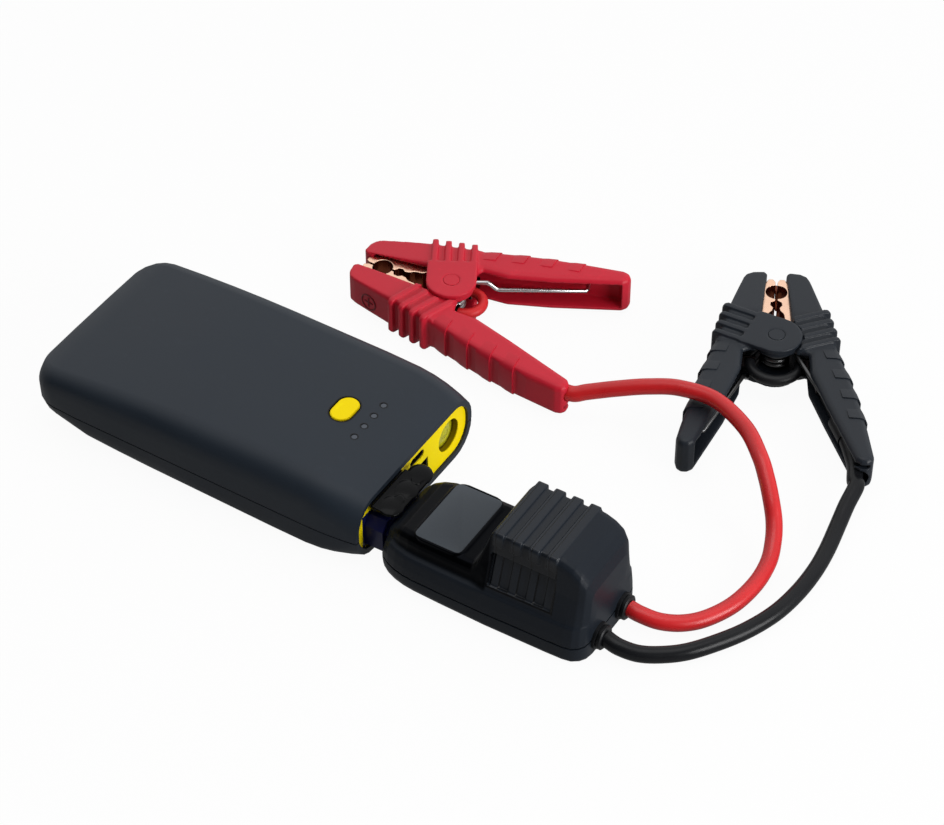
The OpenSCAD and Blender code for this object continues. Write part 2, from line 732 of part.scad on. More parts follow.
// Outline of the module at distance u from its front, drawn in by d
function module_ring(u, d) =
    let (w = module_half_w(u) - d, top = module_top(u) - d, e = block_share(u),
         sh = min(shoulder_z, top - 3.4), ws = w - 1.2, rs = 2.4 - 1.4 * e, wu = min(upper_half_w(u) - d, w - 4.2),
         rb = bottom_r(u), rt = min(3.4, (top - sh) * 0.6),
         run = ws - rs - wu, rise = min(14, (top - sh - rt) * 0.9),
         low_z = min(module_seam - 0.6, max(rb + d + 0.2, sh - rs - 0.6)),
         high_z = min(module_seam + 3.6, max(low_z + 0.2, sh - rs - 0.2)),
         side = concat(
            arc([w - rb, rb + d], rb, -90, 0, 3), [[w, low_z], [w - 0.4, high_z]],
            arc([ws - rs, sh - rs], rs, 10, 80, 2),
            [[wu + run * (0.62 + 0.14 * e), sh + rise * (0.12 + 0.1 * e)],
             [wu + run * (0.3 + 0.2 * e), sh + rise * (0.42 + 0.06 * e)],
             [wu + run * (0.08 + 0.12 * e), sh + rise * (0.78 + 0.02 * e)]],
            arc([wu - rt, top - rt], rt, 0, 90, 3)))
    [for (i = [0:2 * len(side) - 1])
        let (k = i < len(side) ? i : 2 * len(side) - 1 - i, s = i < len(side) ? 1 : -1)
        [d + u * (1 - 2 * d / module_l), s * side[k][0], side[k][1]]];

nose_stations = [for (a = [0:15:75]) nose_l * (1 - cos(a))];
block_stations = [for (i = [0:4]) platform_end + (block_start - platform_end) * i / 4];
rear_stations = [for (a = [60:-12:0]) module_l - block_rear_l * (1 - cos(a))];
module_stations = concat(nose_stations, [nose_l, 29], block_stations, [bars_end - 0.3, bars_end + 0.3],
    [for (u = rear_stations) if (u > bars_end + 1) u]);

module module_skin(d = 0) {
    loft([for (u = module_stations) module_ring(u, d)]);
}

module below_module_seam(d = 0) {
    translate([-1, -far / 2, -1]) cube([far, far, module_seam + 1 - d]);
}

module module_room() {
    low_w = module_w - 2 * module_t - 6;
    along_x(3, module_l - 9) translate([0, (module_t + shoulder_z - 3.4) / 2])
        polygon(round_rect(low_w, shoulder_z - 3.4 - module_t, 3));
    along_x(block_start + 3, module_l - block_rear_l + 6) translate([0, shoulder_z + 3])
        polygon(round_rect(block_w - 2 * module_t - 3.4, 2 * (block_z - shoulder_z - 7), 3));
}

module at_module() {
    translate([module_x, lead_y, 0]) children();
}

gland_x = module_x + module_l;
gland_neck_d = 7.6;
gland_neck_l = 10;

module gland_holes() {
    for (s = [-1, 1]) translate([gland_x - gland_neck_l - 2, lead_y + s * gland_pitch / 2, gland_z])
        rotate([0, 90, 0]) cylinder(d = gland_neck_d + 2 * seat, h = gland_neck_l + 8);
}

module_screw_places = [for (u = [12, module_l - 21.4], s = [-1, 1]) [u, s * 14]];
module_boss_top = 13;

module module_lower_housing() {
    color(charcoal) difference() {
        union() {
            at_module() difference() {
                intersection() {
                    module_skin();
                    below_module_seam();
                }
                module_room();
                difference() {
                    below_module_seam(-1);
                    below_module_seam(seam_line);
                    module_skin(seam_line);
                }
            }
            at_module() for (p = module_screw_places)
                translate([p[0], p[1], 1]) cylinder(d = boss_d, h = module_seam - 1);
        }
        at_module() for (p = module_screw_places) translate([p[0], p[1], -1]) {
            cylinder(d = screw_d + 0.4, h = far);
            cylinder(d = screw_head_d + 0.4, h = 1 + screw_sink + screw_head_t);
        }
        plug_neck(seat);
        gland_holes();
    }
}

bar_depth = 1.1;
bar_wrap = 6;
bar_r = 1.6;

// Places its child at each raised bar of the block
module at_bars() {
    for (i = [0:bar_count - 1]) translate([bar_first + i * bar_pitch, 0, 0]) children();
}

// Rounded bars that lie over the block and hook down over its sides
module block_bars() {
    at_bars() intersection() {
        along_x(0, bar_w) translate([0, block_z - 10]) polygon(round_rect(block_w, 20, bar_r, 4));
        translate([-1, -far / 2, block_z - bar_wrap]) cube([bar_w + 2, far, bar_wrap]);
    }
}

module bar_pocket() {
    translate([bar_first - 3, -far / 2, block_z - bar_depth]) cube([bars_end - bar_first + 3, far, 10]);
}

grip_z = 19;
grip_h = 14;
grip_lean = 18;
grip_depth = 1.2;
grip_bar_h = 0.8;
grip_margin = 0.8;

// Ribbed recess in each side of the block
module side_grips() {
    for (s = [0, 1]) mirror([0, s, 0])
        translate([bar_first, upper_half_w(60) + 3.6 - grip_depth, grip_z]) rotate([grip_lean, 0, 0])
            difference() {
                translate([-grip_margin, 0, 0]) cube([bars_end - bar_first + grip_margin, 6, grip_h]);
                at_grip_bars() translate([0, -1, -1]) cube([bar_w - 0.9, 1 + grip_bar_h, grip_h + 2]);
            }
}

module at_grip_bars() {
    for (i = [0:bar_count - 1]) translate([i * bar_pitch + 0.3, 0, 0]) children();
}

window_x = 24.4;
window_r = 3.2;
window_t = 1.6;
bezel_w = 1.6;
bezel_h = 0.5;
window_top = platform_z + bezel_h - 0.3;
window_ledge = 2;

module window_slab(grow, z0, z1) {
    translate([window_x, 0, z0]) linear_extrude(z1 - z0)
        polygon(round_rect(window_l + 2 * grow, window_w + 2 * grow, window_r + grow));
}

module module_upper_housing() {
    color(charcoal) difference() {
        union() {
            at_module() difference() {
                union() {
                    module_skin();
                    window_slab(bezel_w, platform_z - 1, platform_z + bezel_h);
                }
                below_module_seam();
                bar_pocket();
                side_grips();
                module_room();
                window_slab(seat, window_top - window_t, far);
                window_slab(-window_ledge, shoulder_z - 5, far);
            }
            at_module() difference() {
                block_bars();
                module_room();
            }
            at_module() for (p = module_screw_places)
                translate([p[0], p[1], module_seam]) cylinder(d = boss_d, h = module_boss_top + 1 - module_seam);
        }
        at_module() for (p = module_screw_places) translate([p[0], p[1], 0])
            cylinder(d = screw_d - 0.2, h = module_boss_top, $fn = 24);
        plug_neck(seat);
        gland_holes();
    }
}

module display_window() {
    color([0.3, 0.32, 0.36]) at_module() window_slab(0, window_top - window_t, window_top);
}

display_board_z = window_top - window_t;

module display_board() {
    color(board_green) at_module() window_slab(-window_ledge - 0.2, display_board_z - board_t, display_board_z);
}

module_board_z = 5;
module_board_w = 32;
module_board_back = 14.4;
riser_l = 8;
riser_w = 12;

// Main board with the riser that carries the display board
module module_board() {
    board_top = module_board_z + board_t;
    color(board_green) at_module() difference() {
        translate([9, -module_board_w / 2, module_board_z])
            cube([module_l - module_board_back - 9, module_board_w, board_t]);
        for (p = module_screw_places) translate([p[0], p[1], 0]) cylinder(d = boss_d + 0.4, h = far);
    }
    color(board_green) at_module() translate([window_x - riser_l / 2, -riser_w / 2, board_top])
        cube([riser_l, riser_w, display_board_z - board_t - board_top]);
}

relay_w = 11;
relay_h = 19;
relay_pitch = 12.4;

module relays() {
    color(deep_black) at_module() for (s = [-1, 1])
        translate([block_start + 3.4, (s * relay_pitch - relay_w) / 2, module_board_z + board_t])
            cube([relay_w, relay_w, relay_h]);
}

module module_screws() {
    color(steel) at_module() for (p = module_screw_places)
        translate([p[0], p[1], screw_sink]) screw(10);
}

neck_in = 5;
neck_step = 2.2;

// Stepped neck that the module's housings close round
module plug_neck(grow) {
    along_x(module_x - 1, module_x + neck_in + grow) translate([lead_y, plug_z])
        polygon(plug_outline(grow - neck_step));
    along_x(module_x + 2.4 - grow, module_x + neck_in + grow) translate([lead_y, plug_z])
        polygon(plug_outline(grow));
}

module jump_plug() {
    color(navy) difference() {
        union() {
            along_x(pocket_end + 0.3, module_x - 0.3) translate([lead_y, plug_z]) polygon(plug_outline(0));
            plug_neck(0);
        }
        for (s = [-1, 1]) translate([pocket_end - 1, lead_y + s * pin_pitch / 2, plug_z])
            rotate([0, 90, 0]) cylinder(d = pin_d + 2 * pin_gap + 2, h = 20);
    }
}

module jump_plug_sleeves() {
    color(brass) for (s = [-1, 1]) translate([pocket_end + 0.8, lead_y + s * pin_pitch / 2, plug_z])
        rotate([0, 90, 0]) difference() {
            cylinder(d = pin_d + 2 * pin_gap + 2, h = 18.2);
            translate([0, 0, -1]) cylinder(d = pin_d + 2 * pin_gap, h = 14);
        }
}

// Strain relief: a neck through the wall, a groove and an outer collar
module gland(s) {
    r = gland_d / 2;
    translate([gland_x, lead_y + s * gland_pitch / 2, gland_z]) rotate([0, 90, 0]) rotate_extrude()
        polygon([[0, -gland_neck_l], [gland_neck_d / 2, -gland_neck_l], [gland_neck_d / 2, 0], [r, 0], [r, 1.1],
            [r - 1, 1.3], [r - 1, 1.8], [r - 0.4, 2], [r - 0.4, gland_l - 0.4], [r - 0.9, gland_l], [0, gland_l]]);
}

module red_gland() {
    color(deep_black) gland(1);
}

module black_gland() {
    color(deep_black) gland(-1);
}

// ---------------------------------------------------------------- clamps

red_pivot = [29.5, 96.4];
red_turn = 185.8;
black_pivot = [153.8, 135];
black_turn = 117;
mid_z = clamp_t / 2;
held_t = clamp_t - 2 * (cheek_t + side_gap);
free_t = clamp_t - 2.4;
room_t = held_t - 4.9;
lug_r = cheek_r - 1;

// Places one clamp: u runs to its jaws, and the half that holds the cable is on the +v side
module at_red() {
    translate([red_pivot[0], red_pivot[1], 0]) rotate(red_turn) children();
}

// The same clamp, lying on its other face
module at_black() {
    translate([black_pivot[0], black_pivot[1], clamp_t]) rotate([180, 0, black_turn]) children();
}

// Outer edge of a half from the jaw's tip to the end of its handle, as u and distance from the middle
function handle_edge(l) = [[-3, 23.6], [-16, 27.6], [-26, 30.4], [-42, 33.9], [4 - l, 37], [1.4 - l, 36.4], [-l, 34.6]];
jaw_edge = [[jaw_l, 5], [jaw_l - 0.4, 9.2], [jaw_l - 1.8, 11.8], [jaw_l - 4.6, 13.2], [18, 18.6], [-3, 23.6]];

function jaw_outline() = concat([[jaw_l - 1.4, 3.8]], jaw_edge, [[-9, 16], [-6, 8], [0, 6.6], [14, 6.6]]);
function handle_outline(l) = concat([[0, 12]], handle_edge(l), [[-l, 32], [1.6 - l, 29.8], [-35, 19], [-18, 13.2]]);
function room_outline(l) = concat([[jaw_l - 4, 0], [jaw_l - 4, 9.4]],
    [for (p = [jaw_edge[4], jaw_edge[5]]) p - [0, clamp_wall]],
    [for (i = [1:4]) handle_edge(l)[i] - [i == 4 ? -1 : 0, clamp_wall * 1.06]],
    [[clamp_wall - l, 33.6], [clamp_wall - l, 22], [-35, 8], [-13, 0]]);

rib_u = [17.2, 12, 6.8, 1.6];
rib_w = 2.4;
rib_out = 2.4;
rib_high = 1.2;
rib_l = 19;
rib_slant = 23.5;
step_u = [-10, -21, -32, -43];

function edge_at(u) = u > -3 ? lookup(u, [[-3, 23.6], [18, 18.6]])
    : lookup(u, [for (i = [5:-1:0]) handle_edge(free_l)[i]]);

// Moulded half of a clamp on the +v side: thickness t, handle length l
module half_body(t, l) {
    z0 = mid_z - t / 2;
    z1 = mid_z + t / 2;
    intersection() {
        soft_plate(jaw_outline(), z0, z1, 1.8);
        along_y(far) polygon([[-20, z0], [16, z0], [jaw_l + 1, mid_z - jaw_tip_t / 2],
            [jaw_l + 1, mid_z + jaw_tip_t / 2], [16, z1], [-20, z1]]);
    }
    difference() {
        soft_plate(handle_outline(l), z0, z1, 2.4);
        for (u = step_u) translate([0, 0, -1]) linear_extrude(far)
            polygon([[u, edge_at(u) + 2], [u, edge_at(u) - 0.7], [u - 9, edge_at(u - 9)], [u - 9, edge_at(u - 9) + 2]]);
    }
    intersection() {
        for (u = rib_u) translate([u, edge_at(u) + rib_out, mid_z]) rotate(-rib_slant) intersection() {
            along_x(-rib_w / 2, rib_w / 2) translate([-rib_l / 2, 0])
                polygon(round_rect(rib_l, t + 2 * rib_high, 2.4, 4));
            translate([0, -rib_l / 2, -t]) linear_extrude(2 * t) oval(rib_l, rib_w);
        }
        linear_extrude(far) polygon([[-14, 9], [-2, 6.6], [24, 6.6], [24, 40], [-14, 40]]);
    }
}

module pivot_bore(d) {
    translate([0, 0, -1]) cylinder(d = d, h = far);
}

exit_z = 11.2;
exit_v = 31.9;
lug_z = 10.6;
slot_z = 4.6;
slot_h = 2;

// Opening at the handle's end: a notch for the cable, and a slot under it
module cable_notch(d) {
    translate([-held_l - 4, exit_v, exit_z]) rotate([0, 90, 0]) cylinder(d = d, h = 8);
    translate([-held_l - 4, exit_v - 8, exit_z - d / 2]) cube([8, 8, d]);
    translate([-held_l - 4, exit_v - 8, slot_z]) cube([8, 8 + d / 2, slot_h]);
}

// Half that the cable enters, with its inner lugs on the pivot
module held_half() {
    difference() {
        union() {
            difference() {
                half_body(held_t, held_l);
                for (z = [-1, clamp_t - cheek_t - side_gap]) translate([0, 0, z])
                    cylinder(r = cheek_r + 0.6, h = cheek_t + side_gap + 1);
            }
            translate([0, 0, mid_z - held_t / 2]) cylinder(r = lug_r, h = held_t);
        }
        translate([0, 0, mid_z - room_t / 2]) linear_extrude(room_t) polygon(room_outline(held_l));
        translate([0, 0, mid_z - room_t / 2]) cylinder(r = lug_r + 0.6, h = room_t);
        pivot_bore(pivot_d);
        cable_notch(cable_d + 0.5);
    }
}

cheek_over = 0.9;

// Half that swings, with its outer cheeks over the pivot
module free_half() {
    free_room = free_t - 2 * clamp_wall;
    difference() {
        union() {
            difference() {
                half_body(free_t, free_l);
                translate([0, 0, mid_z - free_room / 2]) linear_extrude(free_room)
                    polygon(room_outline(free_l));
                translate([0, 0, -1]) cylinder(r = lug_r + 0.5, h = clamp_t + 2);
            }
            for (z = [0, clamp_t - cheek_t]) translate([0, 0, z]) {
                cylinder(r = cheek_r, h = cheek_t);
                intersection() {
                    cylinder(r = cheek_r + cheek_over, h = cheek_t);
                    rotate(-rib_slant) translate([-cheek_r, 0, 0]) cube([2 * cheek_r, far, cheek_t]);
                }
            }
        }
        pivot_bore(pivot_d + 2 * pivot_gap);
        for (z = [-1, clamp_t - pivot_head_t]) translate([0, 0, z])
            cylinder(d = pivot_head_d + 0.2, h = pivot_head_t + 1);
    }
}

pivot_head_d = 6.4;
pivot_head_t = 0.9;
head_gap = 0.05;

module pivot_pin() {
    translate([0, 0, head_gap]) {
        cylinder(d = pivot_d, h = clamp_t - 2 * head_gap);
        cylinder(d = pivot_head_d, h = pivot_head_t - 2 * head_gap);
    }
    translate([0, 0, clamp_t - pivot_head_t + head_gap])
        cylinder(d = pivot_head_d, h = pivot_head_t - 2 * head_gap);
}

contact_t = 9.6;
grip_r = 4;
grip_u = 30.5;

// Gripping edge of a copper jaw: tip teeth, round grip, scalloped throat
function grip_edge() = concat([[38.2, 3.2], [38.2, 1.3], [36.6, 0.4], [grip_u + grip_r, 0.4]],
    [for (a = [15:15:165]) [grip_u + grip_r * cos(a), 0.3 + grip_r * sin(a)]],
    [[grip_u - grip_r, 0.4], [25.4, 0.4], [24.4, 2.1], [22.6, 2.3], [21.2, 1.2], [19.4, 1.6], [17.6, 3],
     [14.6, 3.4], [12.4, 5.2], [10.8, 6.2]]);

module copper_jaw() {
    z0 = mid_z - contact_t / 2;
    difference() {
        translate([0, 0, z0]) linear_extrude(contact_t)
            polygon(concat(grip_edge(), [[10.8, 11.5], [34, 7.4], [34.6, 5]]));
        translate([0, 0, z0 + copper_t]) linear_extrude(contact_t - 2 * copper_t)
            polygon(concat([for (p = grip_edge()) p + [0, copper_t]], [[10.8 - 1, 40], [40, 40]]));
    }
}

// Strap from a copper jaw to u, with a foot that the bridge wire of radius r ends on
module strap(u, v, r) {
    translate([0, 0, mid_z - strap_h / 2]) linear_extrude(strap_h)
        polygon([[11.6, 9.2], [11.6, 10.4], [u, v + 1.2], [u, v]]);
    translate([bridge_u, r - bridge_d / 2, mid_z - strap_h / 2])
        cube([1.2, lookup(bridge_u, [[u, v], [11.6, 9.2]]) + 1 - r + bridge_d / 2, strap_h]);
}

module held_jaw(r) {
    copper_jaw();
    strap(-20, 16, r);
}

module free_jaw(r) {
    copper_jaw();
    translate([bridge_gap, 0, 0]) strap(bridge_u, 12.6, r);
}

lug_path = [[-46, 27.4], [-36, 23.8]];

// Crimped end of the cable on the copper strap
module cable_lug() {
    a = lug_path[0];
    b = lug_path[1];
    turn = atan2(b[1] - a[1], b[0] - a[0]);
    translate([a[0], a[1], lug_z]) rotate([0, 0, turn]) {
        rotate([0, 90, 0]) cylinder(d = cable_d + 0.8, h = norm(b - a));
        translate([norm(b - a), -0.8, -2.4]) cube([15.4, 1.6, 5]);
    }
}

curls = 3;
leg_turn = 65.4;
leg_l = 54.4;
leg_hook = 4.4;
leg_bend = 14;
leg_drop = 3.6;
spring_rise = spring_pitch * (curls + 2 * leg_turn / 360);

// Centre line of the torsion spring: one leg, the curls, the other leg
function curl_point(a) = [spring_r * cos(a), spring_r * sin(a),
    mid_z + spring_rise / 2 - spring_pitch * (a + leg_turn) / 360];
function leg_point(s, l, hook, drop = 0) = let (a = s * leg_turn, z = mid_z - s * spring_rise / 2 - drop)
    [spring_r * cos(a), spring_r * sin(a), z] + l * [-sin(leg_turn), s * cos(leg_turn), 0]
    + hook * [cos(leg_turn), s * sin(leg_turn), 0];
curl_turn = 360 * curls + 2 * leg_turn;
curl_rings = curls * 8 + 3;
spring_path = concat(
    [leg_point(-1, leg_l, leg_hook, leg_drop), leg_point(-1, leg_l - 1, 0, leg_drop)],
    [leg_point(-1, leg_bend + 5, 0, leg_drop), leg_point(-1, leg_bend, 0), leg_point(-1, 2, 0)],
    [for (i = [0:curl_rings]) curl_point(curl_turn * i / curl_rings - leg_turn)],
    [leg_point(1, 2, 0), leg_point(1, leg_l / 2, 0), leg_point(1, leg_l - 1, 0), leg_point(1, leg_l, leg_hook)]);

// Least distance between stretches of the spring that lie at least most of a curl apart
spring_clear = min([for (i = [0:len(spring_path) - 1], j = [0:len(spring_path) - 1])
    if (j - i >= 6) norm(spring_path[i] - spring_path[j])]) - spring_d;
echo(spring_least_gap = spring_clear);

module spring() {
    tube(spring_path, spring_d, 6);
}

bridge_u = -6.4;
bridge_d = 4.2;
bridge_gap = 0.1;
strap_h = 5.2;
red_bridge_r = 6.8;
black_bridge_r = 9.8;

// Wire that joins the two copper jaws behind the pivot
module bridge_wire(r) {
    translate([bridge_u, 0, mid_z]) rotate([0, 0, 90]) rotate_extrude(angle = 180)
        translate([r, 0]) circle(d = bridge_d, $fn = 24);
}

module red_cable_handle() {
    color(clamp_red) at_red() held_half();
}

module red_free_handle() {
    color(clamp_red) at_red() mirror([0, 1, 0]) free_half();
}

module red_cable_jaw() {
    color(copper) at_red() held_jaw(red_bridge_r);
}

module red_free_jaw() {
    color(copper) at_red() mirror([0, 1, 0]) free_jaw(red_bridge_r);
}

module red_pivot_pin() {
    color(clamp_red) at_red() pivot_pin();
}

module red_spring() {
    color(steel) at_red() spring();
}

module red_bridge_wire() {
    color(wire_red) at_red() bridge_wire(red_bridge_r);
}

module red_cable_lug() {
    color(copper) at_red() cable_lug();
}

module black_cable_handle() {
    color(charcoal) at_black() held_half();
}

module black_free_handle() {
    color(charcoal) at_black() mirror([0, 1, 0]) free_half();
}

module black_cable_jaw() {
    color(copper) at_black() held_jaw(black_bridge_r);
}

module black_free_jaw() {
    color(copper) at_black() mirror([0, 1, 0]) free_jaw(black_bridge_r);
}

module black_pivot_pin() {
    color(charcoal) at_black() pivot_pin();
}

module black_spring() {
    color(steel) at_black() spring();
}

module black_bridge_wire() {
    color(deep_black) at_black() bridge_wire(black_bridge_r);
}

module black_cable_lug() {
    color(copper) at_black() cable_lug();
}

// ---------------------------------------------------------------- cables

// Point of a clamp's own frame, in the frame of the part
function on_clamp(pivot, turn, u, v, z) =
    [pivot[0] + u * cos(turn) - v * sin(turn), pivot[1] + u * sin(turn) + v * cos(turn), z];
function red_at(u, v, z) = on_clamp(red_pivot, red_turn, u, v, z);
function black_at(u, v, z) = on_clamp(black_pivot, black_turn, u, -v, clamp_t - z);
gland_face = gland_x + gland_l;

red_route = [
    [gland_face, lead_y + gland_pitch / 2, gland_z], [176, -11, 6], [183, -9.4, 4.8], [190, -5, 3.8],
    [196, 2, 3.4], [201, 13, 3.4], [203, 26, 3.6], [202.4, 37, 4.8], [200, 45, 7.2], [197, 51, 10.6],
    [193, 56, 14.8], [187.6, 62, 18.8], [181, 68.6, 21.8], [169.6, 78.4, 22.8], [153.2, 86, 22.6],
    [138.2, 85.8, 21.6], [126.4, 82.4, 19.4], [115, 78, 16.2], [105, 73.8, 13],
    red_at(-held_l - 1, exit_v, exit_z), red_at(-58, 31, exit_z), red_at(-46, 27.4, lug_z)
];

black_route = [
    [gland_face, lead_y - gland_pitch / 2, gland_z], [177, -28.4, 5.6], [184, -26.4, 4.2], [191, -21.8, 3.4],
    [198, -15.6, 3.3], [205, -6, 3.3], [211, 4.6, 3.3], [215.6, 17, 3.3], [217.8, 30, 3.3], [218.2, 43, 3.3],
    [217.2, 55, 3.5], [215.4, 67, 4.6], [214, 77, 6.4], [213.2, 86, 8],
    black_at(-held_l - 1, exit_v - 1.6, exit_z), black_at(-58, 30.2, exit_z), black_at(-46, 27.4, lug_z)
];

module red_cable() {
    color(wire_red) tube(smooth(red_route, 2), cable_d, 12);
}

module black_cable() {
    color(deep_black) tube(smooth(black_route, 2), cable_d, 12);
}

pack_lower_shell();
pack_upper_shell();
end_panel();
pack_screws();
battery_cells();
cell_pads();
bus_bars();
main_board();
button_board();
button_switch();
power_button();
charge_leds();
torch_reflector();
torch_lens();
torch_led();
usb_c_socket();
usb_a_socket();
jump_socket();
jump_socket_pins();
flap_anchor();
socket_flap();
module_lower_housing();
module_upper_housing();
display_window();
display_board();
module_board();
relays();
module_screws();
jump_plug();
jump_plug_sleeves();
red_gland();
black_gland();
red_cable();
black_cable();
red_cable_handle();
red_free_handle();
red_cable_jaw();
red_free_jaw();
red_pivot_pin();
red_spring();
red_bridge_wire();
red_cable_lug();
black_cable_handle();
black_free_handle();
black_cable_jaw();
black_free_jaw();
black_pivot_pin();
black_spring();
black_bridge_wire();
black_cable_lug();
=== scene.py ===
"""Jump starter pack: battery pack, plug-in control module and two sprung clamps, dressed on the CAD frame."""

import json
import math

import bmesh
import bpy
from bpy.props import FloatProperty, FloatVectorProperty, IntProperty, PointerProperty
from mathutils import Matrix, Vector


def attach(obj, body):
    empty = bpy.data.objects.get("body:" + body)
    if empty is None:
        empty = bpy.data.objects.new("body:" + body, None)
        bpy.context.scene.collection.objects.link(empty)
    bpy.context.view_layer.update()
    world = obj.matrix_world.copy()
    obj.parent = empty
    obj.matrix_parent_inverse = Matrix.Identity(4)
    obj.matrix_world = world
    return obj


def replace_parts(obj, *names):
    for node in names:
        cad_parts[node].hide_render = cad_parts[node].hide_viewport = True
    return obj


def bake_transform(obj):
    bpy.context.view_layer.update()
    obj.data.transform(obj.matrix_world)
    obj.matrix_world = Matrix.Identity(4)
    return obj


bl_info = {
    "name": "Jump starter pack",
    "version": (1, 0, 0),
    "blender": (4, 5, 0),
    "location": "3D View > Sidebar > Jump Starter",
    "description": "Dresses the packed solids of a jump starter pack with finished pieces and materials",
    "category": "Object",
}

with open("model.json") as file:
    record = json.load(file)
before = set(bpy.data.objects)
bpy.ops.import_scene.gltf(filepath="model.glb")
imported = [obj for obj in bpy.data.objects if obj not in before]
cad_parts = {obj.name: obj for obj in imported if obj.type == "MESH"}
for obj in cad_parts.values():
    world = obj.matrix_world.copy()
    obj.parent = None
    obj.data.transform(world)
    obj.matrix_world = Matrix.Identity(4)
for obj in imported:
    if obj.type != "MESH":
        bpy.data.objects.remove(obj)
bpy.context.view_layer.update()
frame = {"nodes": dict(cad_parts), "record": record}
NODE_BODY = {n: body for body, names in frame["record"]["behaviour"]["bodies"].items() for n in names}
MM = 0.001


def mm(*values):
    """A point given in millimetres, in metres."""
    return Vector(values) * MM


# ---------------------------------------------------------------- settings


def colour(label, default, text):
    """Property for a finish's colour."""
    return FloatVectorProperty(
        name=label, description=text, subtype="COLOR", size=3, min=0, max=1, default=default
    )


class PackLooks(bpy.types.PropertyGroup):
    """Colours and edges of the battery pack."""

    shell: colour("Shell", (0.0125, 0.0185, 0.0275), "Colour of the soft-touch upper shell")
    lower: colour("Lower shell", (0.0125, 0.0175, 0.0255), "Colour of the lower shell")
    trim: colour("Trim", (1.0, 0.67, 0.0), "Colour of the end panel and the power button")
    socket: colour("Socket", (0.004, 0.006, 0.055), "Colour of the jump socket and the plug")
    edge: FloatProperty(
        name="Edge softening", description="Width of the softened edges of the socket and the plug",
        subtype="DISTANCE", unit="LENGTH", default=0.0003, min=0, max=0.002,
    )


class ModuleLooks(bpy.types.PropertyGroup):
    """Colours of the control module."""

    housing: colour("Housing", (0.0105, 0.0138, 0.0195), "Colour of the module's housing")
    window: colour("Window", (0.044, 0.053, 0.064), "Colour of the display window")
    gland: colour("Gland", (0.006, 0.0065, 0.008), "Colour of the cable glands")


class ClampLooks(bpy.types.PropertyGroup):
    """Colours of the clamps and their metal."""

    red: colour("Red plastic", (0.52, 0.012, 0.03), "Colour of the red clamp's handles")
    black: colour("Black plastic", (0.0125, 0.016, 0.022), "Colour of the black clamp's handles")
    copper: colour("Copper", (1.0, 0.66, 0.48), "Colour of the jaws")
    # the black clamp's spring steel is darkened as painted shade, for a spring that sits in its handles'
    # shade
    steel: colour("Steel", (0.62, 0.62, 0.63), "Colour of the springs; the black clamp's is darker")


class CableLooks(bpy.types.PropertyGroup):
    """Size and colours of the two cables."""

    diameter: FloatProperty(
        name="Diameter", description="Outer diameter of a cable", subtype="DISTANCE", unit="LENGTH",
        default=0.0063, min=0.004, max=0.008,
    )
    steps: IntProperty(name="Steps", description="Points between two route points", default=14, min=2, max=16)
    red: colour("Red silicone", (0.58, 0.016, 0.019), "Colour of the red cable")
    black: colour("Black silicone", (0.007, 0.0075, 0.009), "Colour of the black cable")


class StageLooks(bpy.types.PropertyGroup):
    """Floor, light and camera."""

    floor: colour("Floor", (0.45, 0.45, 0.45), "Colour of the floor")
    fill: FloatProperty(
        name="Fill", description="Strength of the room's bright side", default=1.0, min=0, max=2
    )
    shade: FloatProperty(
        name="Shade", description="Strength of the room's dark side", default=0.05, min=0, max=2
    )
    key: FloatProperty(
        name="Key", description="Power of the large light over the object", unit="POWER", default=3.0,
        min=0, max=60,
    )
    mirrored: FloatProperty(
        name="Mirrored floor", description="Strength of the floor as shiny faces mirror it", default=0.4,
        min=0, max=1,
    )
    focal: FloatProperty(
        name="Focal length", description="Lens on a 36 mm wide sensor", default=114.41, min=20, max=300
    )


class Looks(bpy.types.PropertyGroup):
    """Every setting of the dressed model."""

    pack: PointerProperty(type=PackLooks)
    module: PointerProperty(type=ModuleLooks)
    clamps: PointerProperty(type=ClampLooks)
    cables: PointerProperty(type=CableLooks)
    stage: PointerProperty(type=StageLooks)


def looks():
    """The scene's settings."""
    return bpy.context.scene.jump_pack


# ---------------------------------------------------------------- measures, in millimetres

# Power button: middle, end radius, straight half, and the fade of the painted shade line outside its edge
BUTTON_AT = (43, 0.5)
BUTTON_R = 4.35
BUTTON_STRAIGHT = 2.25
BUTTON_SHADE_LINE = (0.75, 0.95)

# Charge lights: place and pitch of their row, half the row in pitches, and the painted shade line round each
LIGHT_X = 53.7
LIGHT_PITCH = 6.6
LIGHT_ROW = 1.9
LIGHT_SHADE_LINE = (1.55, 1.75)

# End panel: outer face, and the depths behind it between which the shadow in the torch's mouth fades out
PANEL_X = 72.9
PANEL_SHADOW = (0.5, 0.15)

# Torch: middle, mouth, crown of its lens, and the lens as depths behind the crown and radii
TORCH_AT = (24.8, 13.7)
THROAT_R = 7.2
LENS_X = 71.6
LENS_PROFILE = ((0, 0), (0.12, 1.6), (0.45, 2.4), (0.3, 2.8), (0.5, 4.2), (0.95, 5.7), (2, 5.7), (2, 0))

# Socket flap: hinge line, droop in degrees, and the places and half sizes of the soft swellings on it
FOLD_X = 75.2
FLAP_Z = 23
FLAP_DROOP = 8
PILLOWS_Y = (-6.2, 3.4, 13)
PILLOW_OUT = 4.9
PILLOW_UP = 0.15
PILLOW_HALF = (4.9, 5.4, 1.35)

# Module: its near end and middle line; u runs from the near end
MODULE_X = 80.9
LEAD_Y = -19.3

# Gloss black round the window: its two fades along u, and the one upwards
GLOSS_U = ((4, 8), (46.5, 47.5))
GLOSS_Z = (16.5, 18)

# Bars over the block, each with a painted shade line, bumped in too: its place after a bar's start, and the
# fade of its edge
BAR_U = 48.2
BAR_PITCH = 7.2
BARS_U = (BAR_U, BAR_U + 25.8)
BARS_FOOT = 18.5
GROOVE_AT = 1.1
GROOVE_EDGE = (0.08, 0.26)
